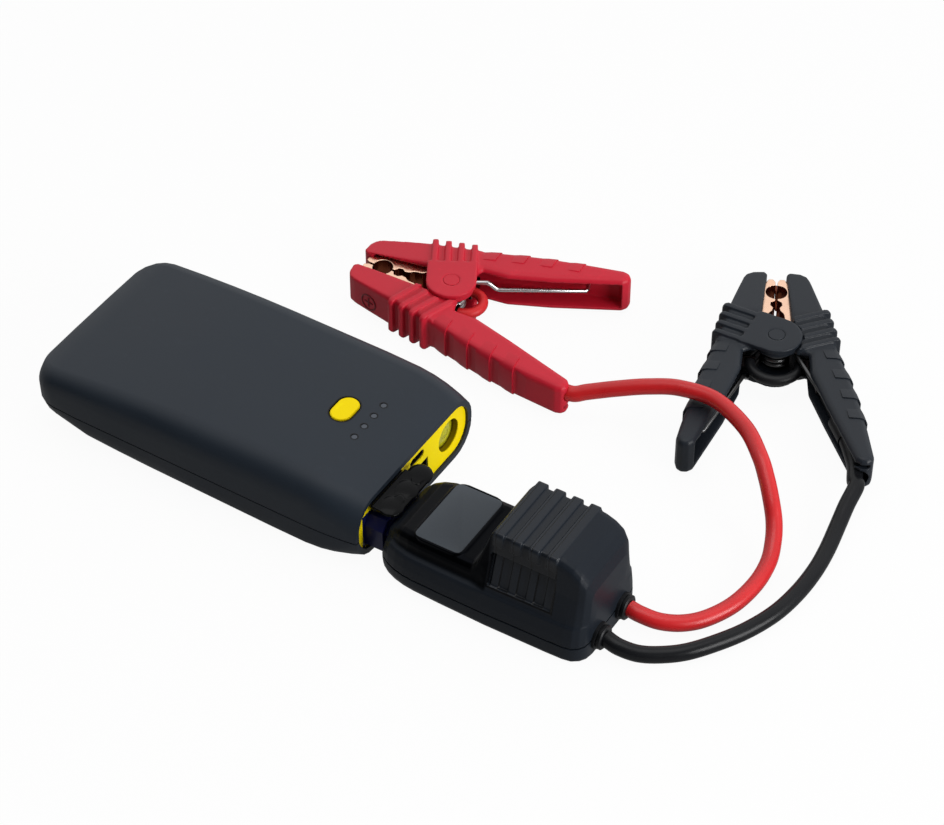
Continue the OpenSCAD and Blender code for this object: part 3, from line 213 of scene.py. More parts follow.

# Ribbed recesses, one in each side of the block, drawn as painted shade lines that are bumped in too: their
# reach, their frame, their foot, the ribs' edges after each bar's start, and the painted shade under the
# block's eaves
SIDE_U = (BAR_U - 1.2, BAR_U + 26.2)
SIDE_OUT = 11.5
SIDE_Z = (18.6, 32)
SIDE_FRAME_U = (BAR_U - 1, BAR_U + 25.8)
SIDE_FRAME = 0.3
SIDE_FOOT = 0.35
RIB_AT = (0.2, 3.5)
RIB_LINE = 0.25
EAVES_Z = ((31.5, 33.5), (38.5, 41))
EAVES_SHADE = 0.6

# Display window: place along u, length, width, rounding of its corners and of its rim, and height
WINDOW_U = 24.2
WINDOW_L = 19.4
WINDOW_W = 31
WINDOW_CORNER = 2.2
WINDOW_RIM = 0.25
WINDOW_Z = (23.2, 24.36)

# ---------------------------------------------------------------- materials


class Flow:
    """A socket's value in a graph; arithmetic on it adds Math nodes."""

    def __init__(self, graph, socket):
        self.graph = graph
        self.socket = socket

    def __add__(self, other):
        return self.graph.math("ADD", self, other)

    def __sub__(self, other):
        return self.graph.math("SUBTRACT", self, other)

    def __rsub__(self, other):
        return self.graph.math("SUBTRACT", other, self)

    def __mul__(self, other):
        return self.graph.math("MULTIPLY", self, other)

    def __gt__(self, other):
        return self.graph.math("GREATER_THAN", self, other)

    def __lt__(self, other):
        return self.graph.math("LESS_THAN", self, other)

    __radd__ = __add__
    __rmul__ = __mul__


class Graph:
    """Nodes of a material or of the world."""

    def __init__(self, tree):
        self.tree = tree

    def add(self, kind, settings=None, inputs=None, output=0):
        """Adds a node: its settings first, then the values or links of its sockets."""
        node = self.tree.nodes.new(kind)
        for key, value in (settings or {}).items():
            setattr(node, key, value)
        for key, value in (inputs or {}).items():
            self.feed(node.inputs[key], value)
        return Flow(self, node.outputs[output])

    def feed(self, socket, value):
        """Links a flow to a socket, or sets the socket to a plain value."""
        if isinstance(value, Flow):
            self.tree.links.new(value.socket, socket)
        else:
            socket.default_value = value

    def math(self, operation, *values):
        """One Math node."""
        return self.add("ShaderNodeMath", {"operation": operation}, dict(enumerate(values)))

    def range(self, value, low, high, to_low, to_high):
        """A value mapped from one range to another, and held inside it."""
        return self.add(
            "ShaderNodeMapRange",
            inputs={"Value": value, "From Min": low, "From Max": high, "To Min": to_low, "To Max": to_high},
        )

    def seen(self):
        """1 where the camera looks, plainly or through a clear piece."""
        direct = self.add("ShaderNodeLightPath", output="Is Camera Ray")
        return direct + self.add("ShaderNodeLightPath", output="Is Transmission Ray")

    def glow(self, strength):
        """White light that comes out of a surface."""
        return self.add("ShaderNodeEmission", inputs={"Strength": strength})

    def mix(self, factor, first, second):
        """Blend of two shaders."""
        return self.add("ShaderNodeMixShader", inputs={0: factor, 1: first, 2: second})


class Finish(Graph):
    """A material on a Principled shader, with its constants set on the shader's own sockets."""

    def __init__(self, name, constants):
        self.material = bpy.data.materials.new(name)
        self.material.use_nodes = True
        super().__init__(self.material.node_tree)
        self.shader = self.tree.nodes["Principled BSDF"]
        for key, value in constants.items():
            self.shader.inputs[key].default_value = value

    def shows(self, flows):
        """Feeds flows to the shader's sockets."""
        for key, value in flows.items():
            self.feed(self.shader.inputs[key], value)

    def place(self):
        """Object coordinates, in metres."""
        return self.add("ShaderNodeTexCoord", output="Object")

    def spots(self, scale, detail=2.0, stretch=(1, 1, 1)):
        """Noise on object coordinates, from 0 to 1; scale counts spots per metre."""
        turned = self.add("ShaderNodeMapping", inputs={"Vector": self.place(), "Scale": stretch})
        return self.add("ShaderNodeTexNoise", inputs={"Vector": turned, "Scale": scale, "Detail": detail})

    def tint(self, factor, first, second):
        """Colour between two others, each plain or a flow."""
        first, second = (tone if isinstance(tone, Flow) else (*tone, 1) for tone in (first, second))
        # a Mix node takes its colours at inputs 6 and 7 and gives its colour at output 2
        return self.add("ShaderNodeMix", {"data_type": "RGBA"}, {0: factor, 6: first, 7: second}, 2)

    def axes(self):
        """Object coordinates in millimetres, as three flows."""
        place = self.place()
        return [self.add("ShaderNodeSeparateXYZ", inputs={0: place}, output=i) * (1 / MM) for i in range(3)]

    def upward(self):
        """How far a face looks up, from -1 to 1."""
        facing = self.add("ShaderNodeTexCoord", output="Normal")
        return self.add("ShaderNodeSeparateXYZ", inputs={0: facing}, output=2)

    def distance(self, a, b):
        """Length of a flat vector."""
        return self.math("SQRT", a * a + b * b)

    def lines_at(self, value, low, high, half_width):
        """1 on two lines, where the value is close to low or to high."""
        middle = self.math("ABSOLUTE", value - (low + high) / 2)
        return self.math("COMPARE", middle, (high - low) / 2, half_width)

    def bump(self, height, depth, strength):
        """Feeds the shader's normal from a height, whose 1 stands for a depth in metres."""
        normal = self.add(
            "ShaderNodeBump", inputs={"Height": height, "Distance": depth, "Strength": strength}
        )
        self.shows({"Normal": normal})


def scaled(tone, share):
    """A colour made darker or lighter."""
    return tuple(min(1.0, c * share) for c in tone)


SHADOW_SHARE = 0.12


def plastic_colours(finish, tone, grain, scuffs=0.25):
    """Colour of moulded plastic, and the clouds, the grain and the scuffs that change it."""
    clouds = finish.spots(22, 3)
    fine = finish.spots(grain)
    worn = finish.range(finish.spots(260, 5, (1, 1, 2.5)), 0.62, 0.78, 0, scuffs)
    colours = finish.tint(clouds * 0.6 + worn + fine * 0.25, scaled(tone, 0.82), scaled(tone, 1.3))
    return colours, clouds, fine, worn


def moulded(name, tone, rough, grain=2600, depth=0.00003, sheen=0.26, scuffs=0.25, shadow=None):
    """Moulded plastic: fine grain, faint tone changes, scuffs that shine, and painted shade in gaps where
    asked.
    """
    finish = Finish(name, {"Specular IOR Level": sheen})
    colours, clouds, fine, worn = plastic_colours(finish, tone, grain, scuffs)
    if shadow:
        colours = finish.tint(shadow(finish), colours, scaled(tone, SHADOW_SHARE))
    gloss = finish.range(clouds, 0.3, 0.7, rough - 0.05, rough + 0.05) - worn * 0.12
    finish.shows({"Base Color": colours, "Roughness": gloss})
    finish.bump(fine, depth, 0.6)
    return finish.material


def control_gap_shade(finish):
    """Painted shade: a dark line round the power button and round each charge light, where their gaps are."""
    x, y, _ = finish.axes()
    y = y - BUTTON_AT[1]
    past = finish.math("MAXIMUM", finish.math("ABSOLUTE", y) - BUTTON_STRAIGHT, 0.0)
    button = finish.distance(x - BUTTON_AT[0], past) - BUTTON_R
    along = finish.math("MODULO", y + 2 * LIGHT_PITCH, LIGHT_PITCH) - LIGHT_PITCH / 2
    light = finish.distance(x - LIGHT_X, along)
    in_row = finish.math("ABSOLUTE", y) < LIGHT_ROW * LIGHT_PITCH
    rings = finish.range(light, *LIGHT_SHADE_LINE, 1, 0) * in_row
    return finish.math("MAXIMUM", finish.range(button, *BUTTON_SHADE_LINE, 1, 0), rings)


def button_wall_shade(finish):
    """Painted shade on the button's upright side, which stands in its gap."""
    return finish.range(finish.upward(), 0.1, 0.35, 1, 0)


def torch_throat(finish):
    """The wall of the torch's mouth, in shadow."""
    x, y, z = finish.axes()
    off = finish.distance(y - TORCH_AT[0], z - TORCH_AT[1])
    deep, shallow = PANEL_SHADOW
    return (off < THROAT_R) * finish.range(x, PANEL_X - deep, PANEL_X - shallow, 0.9, 0)


# Near-black of the gloss round the window, and of the painted shade along the bars, in the side lines and
# under the eaves
GLOSS_AND_SHADE_BLACK = (0.001, 0.001, 0.0014)
GLOSS_AND_SHADE_SHARE = 0.88
BARS_COAT = 0.25


def housing_finish(tone):
    """Black moulded housing: gloss round the window, painted shade along the bars, in side lines and under
    the eaves.
    """
    finish = Finish("Module housing", {"Specular IOR Level": 0.13, "Coat Roughness": 0.22})
    x, y, z = finish.axes()
    u = x - MODULE_X
    gloss = (
        finish.range(u, *GLOSS_U[0], 0, 1) * finish.range(u, *GLOSS_U[1], 1, 0)
        * finish.range(z, *GLOSS_Z, 0, 1)
    )
    on_bars = (u > BARS_U[0]) * (u < BARS_U[1]) * (z > BARS_FOOT)
    along = finish.math("MODULO", u - BAR_U, BAR_PITCH)
    groove_shade = finish.range(finish.math("ABSOLUTE", along - GROOVE_AT), *GROOVE_EDGE, 1, 0)
    low, high = SIDE_Z
    side = (finish.math("ABSOLUTE", y - LEAD_Y) > SIDE_OUT) * (u > SIDE_U[0]) * (u < SIDE_U[1])
    foot = finish.math("COMPARE", z, low + SIDE_FRAME, SIDE_FOOT)
    ends = finish.lines_at(u, *SIDE_FRAME_U, SIDE_FRAME)
    ribs = finish.lines_at(along, *RIB_AT, RIB_LINE)
    recess_shade = finish.math("MAXIMUM", foot, finish.math("MAXIMUM", ends, ribs)) * side * (z > low) * (z < high)
    eaves = side * finish.range(z, *EAVES_Z[0], 0, EAVES_SHADE) * finish.range(z, *EAVES_Z[1], 1, 0)
    # painted shade along the bars and in the side lines, which the bump below also dents in
    shade_and_dent = finish.math("MAXIMUM", groove_shade * on_bars * (z > high), recess_shade)
    colours, clouds, fine, _ = plastic_colours(finish, tone, 2600)
    dark = finish.range(gloss + shade_and_dent + eaves, 0, 1, 0, GLOSS_AND_SHADE_SHARE)
    finish.shows({
        "Base Color": finish.tint(dark, colours, GLOSS_AND_SHADE_BLACK),
        "Metallic": gloss * GLOSS_AND_SHADE_SHARE,
        "Roughness": finish.range(clouds, 0.3, 0.7, 0.36, 0.44) - gloss * 0.1,
        "Coat Weight": on_bars * BARS_COAT,
    })
    finish.bump(fine * 0.06 - shade_and_dent, 0.00025, 0.7)
    return finish.material


def rubber(name, tone, rough=0.42, sheen=0.3):
    """Silicone or soft rubber: smooth, with dust and a faint haze."""
    finish = Finish(name, {"Specular IOR Level": sheen})
    haze = finish.spots(60, 4)
    dust = finish.range(finish.spots(1500), 0.66, 0.8, 0, 0.35)
    finish.shows({
        "Base Color": finish.tint(haze * 0.7 + dust, scaled(tone, 0.85), scaled(tone, 1.22)),
        "Roughness": finish.range(haze, 0.3, 0.7, rough - 0.06, rough + 0.08) + dust * 0.3,
    })
    finish.bump(finish.spots(900, 3), 0.00002, 0.5)
    return finish.material


# Jaws: painted shade on their upright faces and on their tail, and where the tail ends, in millimetres past
# the pin
JAW_WALL_SHADE = (0.2, 0.05, 0.022)
JAW_TAIL_SHADE = (0.012, 0.009, 0.009)
JAW_TAIL_END = (7, 11)


def metal(name, tone, rough, scale=900, tarnish=0.25, jaw_of=None):
    """Bare metal, dulled in patches; as a clamp's jaw it gets painted shade on its upright walls and its
    tail.
    """
    finish = Finish(name, {"Metallic": 1.0})
    brushed = finish.spots(scale, 4)
    dull = finish.range(finish.spots(140, 4), 0.45, 0.72, 0, 1)
    colours = finish.tint(dull * tarnish + brushed * 0.2, tone, scaled(tone, 0.6))
    if jaw_of:
        # painted shade: the upright faces and the tail behind the pin are darkened
        up = finish.upward()
        colours = finish.tint(finish.range(up * up, 0.2, 0.6, 1, 0), colours, JAW_WALL_SHADE)
        axis = jaw_of.col[0].to_3d()
        along = finish.add(
            "ShaderNodeVectorMath", {"operation": "DOT_PRODUCT"}, {0: finish.place(), 1: axis}, "Value"
        )
        pin = axis.dot(jaw_of.translation)
        start, end = (pin + u * MM for u in JAW_TAIL_END)
        colours = finish.tint(finish.range(along, start, end, 1, 0), colours, JAW_TAIL_SHADE)
    finish.shows({
        "Base Color": colours,
        "Roughness": finish.range(brushed, 0.3, 0.7, rough - 0.05, rough + 0.07) + dull * 0.1,
    })
    return finish.material


def clear(name, tone, rough, milk):
    """Clear moulded lens or light cap, made cloudy by a share of milk."""
    finish = Finish(
        name, {"Transmission Weight": 1.0 - milk, "IOR": 1.49, "Base Color": (*tone, 1), "Roughness": rough}
    )
    finish.bump(finish.spots(700), 0.00002, 0.3)
    return finish.material


def board(name):
    """Green solder mask with copper tracks under it."""
    finish = Finish(name, {"Roughness": 0.35})
    track = finish.add("ShaderNodeTexBrick", inputs={"Vector": finish.place(), "Scale": 60}, output="Fac")
    finish.shows({"Base Color": finish.tint(track, (0.01, 0.09, 0.035), (0.03, 0.2, 0.08))})
    return finish.material


# ---------------------------------------------------------------- shared geometry

# Widest seam that is welded, in metres, and the bend in degrees under which two faces count as one
WELD = 3e-6
FLAT = 0.6


def new_object(name, data, material):
    """Adds an object at the origin, in one material."""
    made = bpy.data.objects.new(name, data)
    bpy.context.scene.collection.objects.link(made)
    data.materials.append(material)
    return made


def new_mesh(name, shape, material):
    """Makes a bmesh into an object at the origin."""
    mesh = bpy.data.meshes.new(name)
    shape.to_mesh(mesh)
    shape.free()
    return new_object(name, mesh, material)


def seat(piece, node, carrier=None):
    """Lets a piece ride on a CAD node's body, or on its carrier's."""
    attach(piece, NODE_BODY[carrier or node])


def new_piece(name, shape, material, node):
    """Makes a bmesh into a piece of a CAD node."""
    piece = new_mesh(name, shape, material)
    seat(piece, node)
    return piece


def shade(shape, angle):
    """Smooth faces, with sharp edges where two faces meet at more than an angle in degrees."""
    limit = math.radians(angle)
    for face in shape.faces:
        face.smooth = True
    for edge in shape.edges:
        edge.smooth = len(edge.link_faces) == 2 and edge.calc_face_angle(0.0) < limit


def cad_copy(node):
    """A CAD solid's mesh as a bmesh, with its seams welded."""
    shape = bmesh.new()
    shape.from_mesh(frame["nodes"][node].data)
    bmesh.ops.remove_doubles(shape, verts=shape.verts, dist=WELD)
    return shape


def soften(piece, width, angle):
    """Rounds the edges where a piece bends by more than an angle in degrees."""
    bevel = piece.modifiers.new("Soft edges", "BEVEL")
    bevel.width = width
    bevel.segments = 2
    bevel.limit_method = "ANGLE"
    bevel.angle_limit = math.radians(angle)
    bevel.miter_outer = "MITER_ARC"
    bevel.use_clamp_overlap = True


def dress(node, material, width=0.0, angle=32):
    """Stands a copy of a CAD solid in its place, with its edges softened where a width is given."""
    shape = cad_copy(node)
    bmesh.ops.dissolve_limit(
        shape, angle_limit=math.radians(FLAT), verts=shape.verts, edges=shape.edges
    )
    shade(shape, angle)
    piece = new_piece(f"{node}_skin", shape, material, node)
    if width:
        soften(piece, width, angle)
    normals = piece.modifiers.new("Even normals", "WEIGHTED_NORMAL")
    normals.keep_sharp = True
    normals.weight = 60
    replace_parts(piece, node)


def cast(node, material, voxel, keep, rounds, add_forms=None):
    """Stands a copy of a CAD solid in its place, with its edges moulded round and extra forms grown in."""
    shape = cad_copy(node)
    if add_forms:
        add_forms(shape)
    piece = new_piece(f"{node}_skin", shape, material, node)
    remesh = piece.modifiers.new("Cast", "REMESH")
    remesh.mode = "VOXEL"
    remesh.voxel_size = voxel * MM
    remesh.use_smooth_shade = True
    round_off = piece.modifiers.new("Round edges", "SMOOTH")
    round_off.factor = 0.5
    round_off.iterations = rounds
    thin = piece.modifiers.new("Fewer faces", "DECIMATE")
    thin.ratio = keep
    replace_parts(piece, node)


def paint(material, *nodes):
    """Gives CAD nodes whose shape is right their finish."""
    for node in nodes:
        target = frame["nodes"][node].data.materials
        target.clear()
        target.append(material)


def through(a, b, c, d, t):
    """Point between b and c of the smooth curve through four points."""
    return 0.5 * (
        2 * b + (c - a) * t + (2 * a - 5 * b + 4 * c - d) * t * t + (3 * b - a - 3 * c + d) * t**3
    )


def smooth_path(points, steps):
    """Smooth curve through listed points."""
    last = len(points) - 1
    path = [
        through(points[max(0, i - 1)], points[i], points[i + 1], points[min(last, i + 2)], j / steps)
        for i in range(last)
        for j in range(steps)
    ]
    return path + [points[last]]


def wire(name, path, diameter, material, node, fineness, carrier=None):
    """Round wire along a path, as a curve."""
    curve = bpy.data.curves.new(name, "CURVE")
    curve.dimensions = "3D"
    curve.bevel_depth = diameter / 2
    curve.bevel_resolution = fineness
    curve.use_fill_caps = True
    spline = curve.splines.new("POLY")
    spline.points.add(len(path) - 1)
    for point, place in zip(spline.points, path):
        point.co = (*place, 1)
    spline.use_smooth = True
    piece = new_object(name, curve, material)
    seat(piece, node, carrier)
    return piece


def box_matrix(*sides):
    """Stretches a unit shape to sides in millimetres."""
    return Matrix.Diagonal((*(side * MM for side in sides), 1))


# ---------------------------------------------------------------- stage

# Floor: half its side in metres, share and strength of its own light where it is seen, and share where it is
# mirrored
FLOOR_HALF = 6
FLOOR_SEEN = (0.91, 1.04)
FLOOR_MIRROR = 0.85

# Room: where it is brightest, and the edges of the fade from dark to bright
BRIGHT_SIDE = (-0.35, 0.75, 0.56)
FADE = (-0.15, 0.85)

# Softboxes: place, aim and size in metres, and share of the key's power
SOFTBOXES = {
    "Key softbox": ((0.1, 0.0, 1.15), (0.08, 0.04, 0.0), (0.8, 0.8), 1.0),
    "Right softbox": ((1.25, -0.05, 0.42), (0.08, 0.02, 0.0), (0.7, 0.6), 4.4),
}

# Camera: turn and tilt in degrees, and place to its right, up and back in metres
CAMERA_TURN = 31.7
CAMERA_TILT = 43.05
CAMERA_AT = (0.08392, 0.006814, 1.1485)


class JUMPPACK_OT_stage(bpy.types.Operator):
    """Adds the floor, the soft studio light and the camera"""

    bl_idname = "jump_pack.stage"
    bl_label = "Stage"

    def execute(self, context):
        settings = looks().stage
        scene = context.scene
        scene.view_settings.view_transform = "Standard"
        self.add_floor(settings)
        self.add_world(scene, settings)
        for name, (place, aim, size, share) in SOFTBOXES.items():
            self.add_light(name, Vector(place), Vector(aim), size, settings.key * share)
        self.add_camera(scene, settings.focal)
        return {"FINISHED"}

    def add_floor(self, settings):
        """White floor that the camera sees evenly lit."""
        shape = bmesh.new()
        bmesh.ops.create_grid(shape, x_segments=1, y_segments=1, size=FLOOR_HALF)
        finish = Finish(
            "Floor white", {"Base Color": (*settings.floor, 1), "Roughness": 0.9, "Specular IOR Level": 0.1}
        )
        share, strength = FLOOR_SEEN
        lit = Flow(finish, finish.shader.outputs[0])
        white = finish.mix(finish.seen() * share, lit, finish.glow(strength))
        mirrored = finish.add("ShaderNodeLightPath", output="Is Glossy Ray")
        surface = finish.mix(mirrored * FLOOR_MIRROR, white, finish.glow(settings.mirrored))
        finish.feed(finish.tree.nodes["Material Output"].inputs["Surface"], surface)
        new_mesh("Floor", shape, finish.material)

    def add_world(self, scene, settings):
        """Room that is bright on one side, and white where the camera sees it."""
        world = bpy.data.worlds.new("Studio")
        scene.world = world
        world.use_nodes = True
        graph = Graph(world.node_tree)
        toward = graph.add("ShaderNodeTexCoord", output="Generated")
        behind = graph.add(
            "ShaderNodeVectorMath", {"operation": "DOT_PRODUCT"}, {0: toward, 1: BRIGHT_SIDE}, "Value"
        )
        low, high = FADE
        room = graph.add(
            "ShaderNodeMapRange", {"interpolation_type": "SMOOTHSTEP"},
            {
                "Value": behind, "From Min": low, "From Max": high,
                "To Min": settings.shade, "To Max": settings.fill,
            },
        )
        background = world.node_tree.nodes["Background"]
        background.inputs["Color"].default_value = (1, 1, 1, 1)
        graph.feed(background.inputs["Strength"], graph.range(graph.seen(), 0, 1, room, 1))

    def add_light(self, name, place, aim, size, power):
        """Flat softbox that faces its aim."""
        light = bpy.data.lights.new(name, "AREA")
        light.shape = "RECTANGLE"
        light.size, light.size_y = size
        light.energy = power
        lamp = bpy.data.objects.new(name, light)
        lamp.location = place
        lamp.rotation_euler = (aim - place).to_track_quat("-Z", "Y").to_euler()
        bpy.context.scene.collection.objects.link(lamp)

    def add_camera(self, scene, focal):
        """Camera over the pack's corner."""
        turn, tilt = math.radians(CAMERA_TURN), math.radians(CAMERA_TILT)
        back = Vector((math.sin(turn) * math.cos(tilt), -math.cos(turn) * math.cos(tilt), math.sin(tilt)))
        right = Vector((math.cos(turn), math.sin(turn), 0))
        turned = Matrix((right, back.cross(right), back)).transposed().to_4x4()
        camera = bpy.data.cameras.new("Camera")
        camera.lens = focal
        camera.sensor_width = 36
        camera.clip_start, camera.clip_end = 0.05, 20
        eye = bpy.data.objects.new("Camera", camera)
        eye.matrix_world = turned @ Matrix.Translation(CAMERA_AT)
        scene.collection.objects.link(eye)
        scene.camera = eye


# ---------------------------------------------------------------- cables

# Glands: outer face, distance between their middles, and height
GLAND_FACE = 171.5
GLAND_PITCH = 17
GLAND_Z = 6.4

# Centre lines from the module's glands, and their last points in the clamps' own frames
ROUTES = {
    "red": [
        (GLAND_FACE, LEAD_Y + GLAND_PITCH / 2, GLAND_Z), (176, -11, 6), (183, -9.4, 4.8), (190, -5, 3.8),
        (196, 2, 3.4), (201, 13, 3.4), (203, 26, 3.6), (202.4, 37, 4.8), (200, 45, 7.2), (197, 51, 10.6),
        (193, 56, 14.8), (187.6, 62, 18.8), (181, 68.6, 21.8), (169.6, 78.4, 22.8), (153.2, 86, 22.6),
        (138.2, 85.8, 21.6), (126.4, 82.4, 19.4), (115, 78, 16.2), (105, 73.8, 13),
    ],
    "black": [
        (GLAND_FACE, LEAD_Y - GLAND_PITCH / 2, GLAND_Z), (177, -28.4, 5.6), (184, -26.4, 4.2),
        (191, -21.8, 3.4), (198, -15.6, 3.3), (205, -6, 3.3), (211, 4.6, 3.3), (215.6, 17, 3.3),
        (217.8, 30, 3.3), (218.2, 43, 3.3), (217.2, 55, 3.5), (215.4, 67, 4.6), (214, 77, 6.4),
        (213.2, 86, 8),
    ],
}
CLAMP_END = {
    "red": [(-67, 31.9, 11.2), (-58, 31, 11.2), (-46, 27.4, 10.6)],
    "black": [(-67, 30.3, 11.2), (-58, 30.2, 11.2), (-46, 27.4, 10.6)],
}

# Sheen of each cable
CABLE_SHEEN = {"red": 0.42, "black": 0.2}


class JUMPPACK_OT_cables(bpy.types.Operator):
    """Adds the two silicone cables, from the module's glands into the clamps"""

    bl_idname = "jump_pack.cables"
    bl_label = "Cables"

    def execute(self, context):
        settings = looks().cables
        for tone, route in ROUTES.items():
            points = [mm(*p) for p in route] + [on_clamp(tone, *p) for p in CLAMP_END[tone]]
            silicone = rubber(f"{tone.title()} silicone", getattr(settings, tone), 0.3, CABLE_SHEEN[tone])
            cable = wire(
                f"{tone}_cable_run", smooth_path(points, settings.steps), settings.diameter, silicone,
                f"{tone}_cable", fineness=7,
            )
            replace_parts(cable, f"{tone}_cable")
        return {"FINISHED"}


# ---------------------------------------------------------------- pack

ZINC = (0.55, 0.55, 0.56)
GOLD = (0.9, 0.7, 0.32)
BLACK_NYLON = (0.02, 0.02, 0.02)


class JUMPPACK_OT_pack(bpy.types.Operator):
    """Adds the pack's shells, button, lights and what they close in"""

    bl_idname = "jump_pack.pack"
    bl_label = "Pack"

    def execute(self, context):
        settings = looks().pack
        trim = (settings.trim, 0.42, 1800, 0.00002, 0.07)
        skins = {
            "pack_upper_shell": moulded("Soft-touch shell", settings.shell, 0.46, shadow=control_gap_shade),
            "pack_lower_shell": moulded("Lower shell", settings.lower, 0.5),
            "end_panel": moulded("Yellow panel", *trim, shadow=torch_throat),
            "power_button": moulded("Yellow button", *trim, shadow=button_wall_shade),
        }
        for node, plastic in skins.items():
            dress(node, plastic, angle=40)
        paint(moulded("Unlit lights", (0.052, 0.062, 0.08), 0.25, 1500, 0.00001, 0.4), "charge_leds")
        paint(metal("Plated screws", ZINC, 0.32), "pack_screws")
        paint(metal("Cell foil", (0.72, 0.73, 0.75), 0.38), "battery_cells")
        paint(rubber("Foam", (0.08, 0.08, 0.08), 0.9, 0.2), "cell_pads")
        paint(metal("Copper bars", (0.9, 0.5, 0.32), 0.3), "bus_bars")
        paint(board("Pack boards"), "main_board", "button_board")
        paint(moulded("Switch plastic", BLACK_NYLON, 0.5), "button_switch")
        return {"FINISHED"}


class JUMPPACK_OT_ports(bpy.types.Operator):
    """Adds the torch, the ports, the jump socket and its flap"""

    bl_idname = "jump_pack.ports"
    bl_label = "Ports"

    def execute(self, context):
        settings = looks().pack
        dress("jump_socket", moulded("Navy plastic", settings.socket, 0.34), settings.edge)
        paint(metal("Socket pins", GOLD, 0.25), "jump_socket_pins")
        # painted reflection and shade: the reflector is tinted dark yellow for the yellow panel it mirrors
        paint(metal("Mirror", (0.42, 0.4, 0.06), 0.15), "torch_reflector")
        self.add_lens(clear("Torch lens", (0.72, 0.7, 0.02), 0.08, 0.5))
        paint(clear("Torch light", (0.95, 0.85, 0.35), 0.4, 0.8), "torch_led")
        # painted shade: the port shells are near-black for the shade inside the ports
        paint(metal("Port shell", (0.1, 0.1, 0.105), 0.3), "usb_a_socket", "usb_c_socket")
        flap = rubber("Flap rubber", (0.0028, 0.003, 0.0036), 0.2, 0.1)
        cast("socket_flap", flap, voxel=0.25, keep=0.5, rounds=4, add_forms=self.flap_pillows)
        dress("flap_anchor", flap, settings.edge)
        return {"FINISHED"}

    def add_lens(self, material):
        """Domed lens, set back in the torch's mouth, with a moulded ring round its crown."""
        shape = bmesh.new()
        y, z = TORCH_AT
        verts = [shape.verts.new(mm(LENS_X - deep, y + r, z)) for deep, r in LENS_PROFILE]
        edges = [shape.edges.new(pair) for pair in zip(verts, verts[1:])]
        bmesh.ops.spin(
            shape, geom=verts + edges, cent=mm(0, y, z), axis=(1, 0, 0), angle=math.tau, steps=48,
            use_merge=True,
        )
        bmesh.ops.remove_doubles(shape, verts=shape.verts, dist=1e-6)
        bmesh.ops.recalc_face_normals(shape, faces=shape.faces)
        shade(shape, 40)
        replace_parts(new_piece("torch_dome", shape, material, "torch_lens"), "torch_lens")

    def flap_pillows(self, shape):
        """Three soft swellings across the flap, which leave its free edge lobed."""
        hinge = Matrix.Translation(mm(FOLD_X, LEAD_Y, FLAP_Z))
        droop = Matrix.Rotation(math.radians(FLAP_DROOP), 4, "Y")
        for y in PILLOWS_Y:
            place = hinge @ droop @ Matrix.Translation(mm(PILLOW_OUT, y, PILLOW_UP))
            bmesh.ops.create_uvsphere(
                shape, u_segments=24, v_segments=12, radius=1, matrix=place @ box_matrix(*PILLOW_HALF)
            )


# ---------------------------------------------------------------- module


class JUMPPACK_OT_module(bpy.types.Operator):
    """Adds the control module, its plug, its window and its glands"""

    bl_idname = "jump_pack.module"
    bl_label = "Module"

    def execute(self, context):
        settings = looks().module
        pack = looks().pack
        housing = housing_finish(settings.housing)
        cast("module_upper_housing", housing, voxel=0.36, keep=0.36, rounds=3)
        dress("module_lower_housing", housing, angle=36)
        self.add_window(moulded("Smoked window", settings.window, 0.3, 1200, 0.00001, 0.2, 0.1))
        gland = moulded("Gland plastic", settings.gland, 0.45)
        dress("red_gland", gland)
        dress("black_gland", gland)
        dress("jump_plug", moulded("Plug plastic", pack.socket, 0.34), pack.edge)
        paint(metal("Plug sleeves", GOLD, 0.25), "jump_plug_sleeves")
        paint(board("Module boards"), "display_board", "module_board")
        paint(moulded("Relay plastic", BLACK_NYLON, 0.5), "relays")
        paint(metal("Module screws", ZINC, 0.32), "module_screws")
        return {"FINISHED"}

    def add_window(self, material):
        """Flat smoked pane with softly rounded corners, over its seat."""
        shape = bmesh.new()
        low, high = WINDOW_Z
        centre = mm(MODULE_X + WINDOW_U, LEAD_Y, (low + high) / 2)
        bmesh.ops.create_cube(
            shape, size=1, matrix=Matrix.Translation(centre) @ box_matrix(WINDOW_L, WINDOW_W, high - low)
        )
        uprights = [e for e in shape.edges if e.verts[0].co.xy == e.verts[1].co.xy]
        bmesh.ops.bevel(
            shape, geom=uprights, offset=WINDOW_CORNER * MM, segments=6, profile=0.5, affect="EDGES",
            material=-1,
        )
        rim = [e for e in shape.edges if all(v.co.z > centre.z for v in e.verts)]
        bmesh.ops.bevel(
            shape, geom=rim, offset=WINDOW_RIM * MM, segments=2, profile=0.5, affect="EDGES", material=-1
        )
        shade(shape, 30)
        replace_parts(new_piece("display_pane", shape, material, "display_window"), "display_window")


# ---------------------------------------------------------------- clamps

# Each clamp's own frame: origin at an end of its pin, u to the jaws' tips, v to the side of the cable handle
CLAMP_T = 19
MID_Z = CLAMP_T / 2
RED_PIN = (29.5, 96.4, 0)
RED_TURN = 185.8
BLACK_PIN = (153.8, 135, CLAMP_T)
BLACK_TURN = 117
CLAMPS = {
    "red": Matrix.Translation(mm(*RED_PIN)) @ Matrix.Rotation(math.radians(RED_TURN), 4, "Z"),
    "black": Matrix.Translation(mm(*BLACK_PIN))
    @ Matrix.Rotation(math.radians(BLACK_TURN), 4, "Z")
    @ Matrix.Rotation(math.pi, 4, "X"),
}

# Dark wire between the jaws, standing in for the shade in their gap: its points along u, its place across and
# its thickness
JAW_GAP_SHADE_U = (25, 32, 39.5)
JAW_GAP_SHADE_V = 0.15
JAW_GAP_SHADE_D = 1.1

